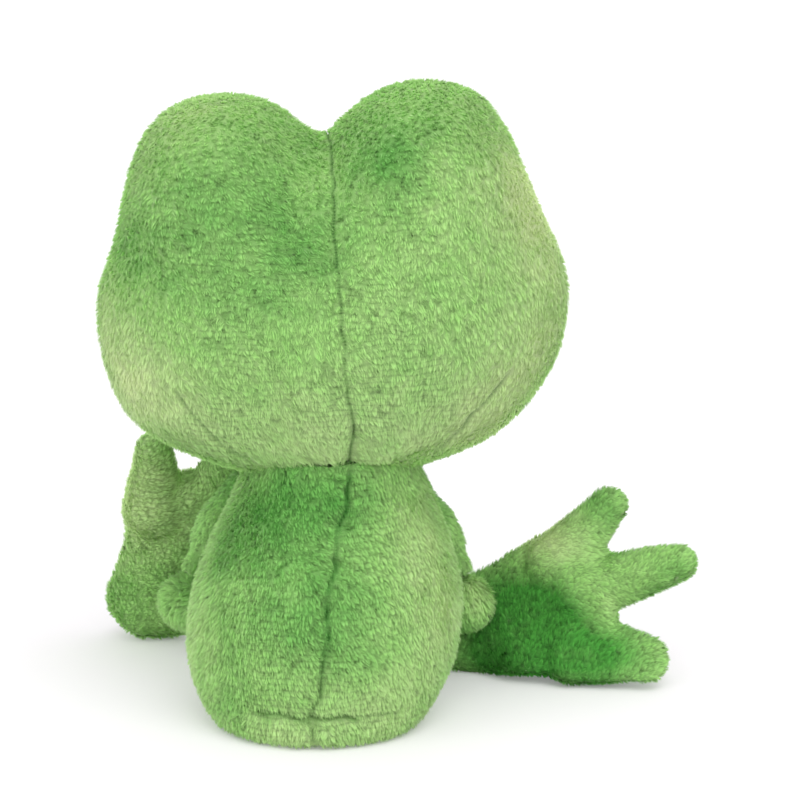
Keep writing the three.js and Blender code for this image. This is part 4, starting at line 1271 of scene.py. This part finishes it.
# Pellet bag in the seat

bagShape = {
    "radius": 19.6, "height": 12, "base": 2.3, "squareness": 0.72, "pellet": 2.6, "bulge": 0.35, "hem": 0.3,
}


def bagForm():
    profile = []
    for t in np.linspace(-math.pi / 2, math.pi / 2, 61):
        rise = math.copysign(abs(math.sin(t)) ** bagShape["squareness"], math.sin(t))
        wide = abs(math.cos(t)) ** bagShape["squareness"]
        profile.append((bagShape["radius"] * wide, bagShape["height"] / 2 * (1 + rise)))
    profile[0], profile[-1] = (0, 0.0), (0, bagShape["height"])
    points, faces = lathe(profile, 120)
    skin = skinOf(points + np.array([0, 0, bagShape["base"]]), faces, 0.5)
    bumps = np.abs(wavy(skin["points"], bagShape["pellet"], 101, 1)) * bagShape["bulge"]
    hem = fading(skin["points"][:, 2] - bagShape["base"] - bagShape["height"] / 2, 0.5) * bagShape["hem"]
    raised(skin, bumps - hem)
    return plainForm(skin["points"], faces)


bag = makePiece("pelletBag", bagForm(), bagCotton, "torso", ["pellet_bag"])
print("pellet bag ready")


# Floor and studio light

studio = {
    "floorSize": 8.0, "floorTone": (0.81, 0.78, 0.815, 1), "lift": 0.2, "world": 0.84, "sunSoftness": 50,
    "lamps": {"keySun": (1.15, (-0.35, 0.8, 1.0)), "fillSun": (0.74, (0.9, 0.8, 0.45))},
}
white = (1, 1, 1, 1)


def emptyTree(owner):
    owner.use_nodes = True
    owner.node_tree.nodes.clear()
    return owner.node_tree


def straightToView(tree):
    # 1 for what the camera, gloss and clear things see, 0 for the light that falls on the frog
    light = addNode(tree, "LightPath").outputs
    seen = mathNode(tree, "ADD", light["Is Camera Ray"], light["Is Glossy Ray"], True)
    return mathNode(tree, "ADD", seen, light["Is Transmission Ray"], True)


floorMesh = bpy.data.meshes.new("floor")
half = studio["floorSize"] / 2
corners = [(-half, -half, 0), (half, -half, 0), (half, half, 0), (-half, half, 0)]
floorMesh.from_pydata(corners, [], [(0, 1, 2, 3)])
floor = newObject("floor", floorMesh)
floorMaterial = bpy.data.materials.new("paleFloor")
tree = emptyTree(floorMaterial)
matte = addNode(tree, "BsdfDiffuse", Color=studio["floorTone"])
lift = mathNode(tree, "MULTIPLY", straightToView(tree), studio["lift"])
glow = addNode(tree, "Emission", Color=white, Strength=lift)
both = addNode(tree, "AddShader", i0=matte.outputs[0], i1=glow.outputs[0])
addNode(tree, "OutputMaterial", Surface=both.outputs[0])
floorMesh.materials.append(floorMaterial)

world = bpy.data.worlds.new("studio")
bpy.context.scene.world = world
tree = emptyTree(world)
strength = rangeNode(tree, straightToView(tree), 0.0, 1.0, studio["world"], 1.0)
sky = addNode(tree, "Background", Color=white, Strength=strength)
addNode(tree, "OutputWorld", Surface=sky.outputs[0])

for name, (power, place) in studio["lamps"].items():
    lamp = bpy.data.lights.new(name, "SUN")
    lamp.energy = power
    lamp.angle = math.radians(studio["sunSoftness"])
    holder = newObject(name, lamp)
    holder.rotation_euler = (-Vector(place)).to_track_quat("-Z", "Y").to_euler()

bpy.context.scene.view_settings.view_transform = "Standard"
print("studio ready")
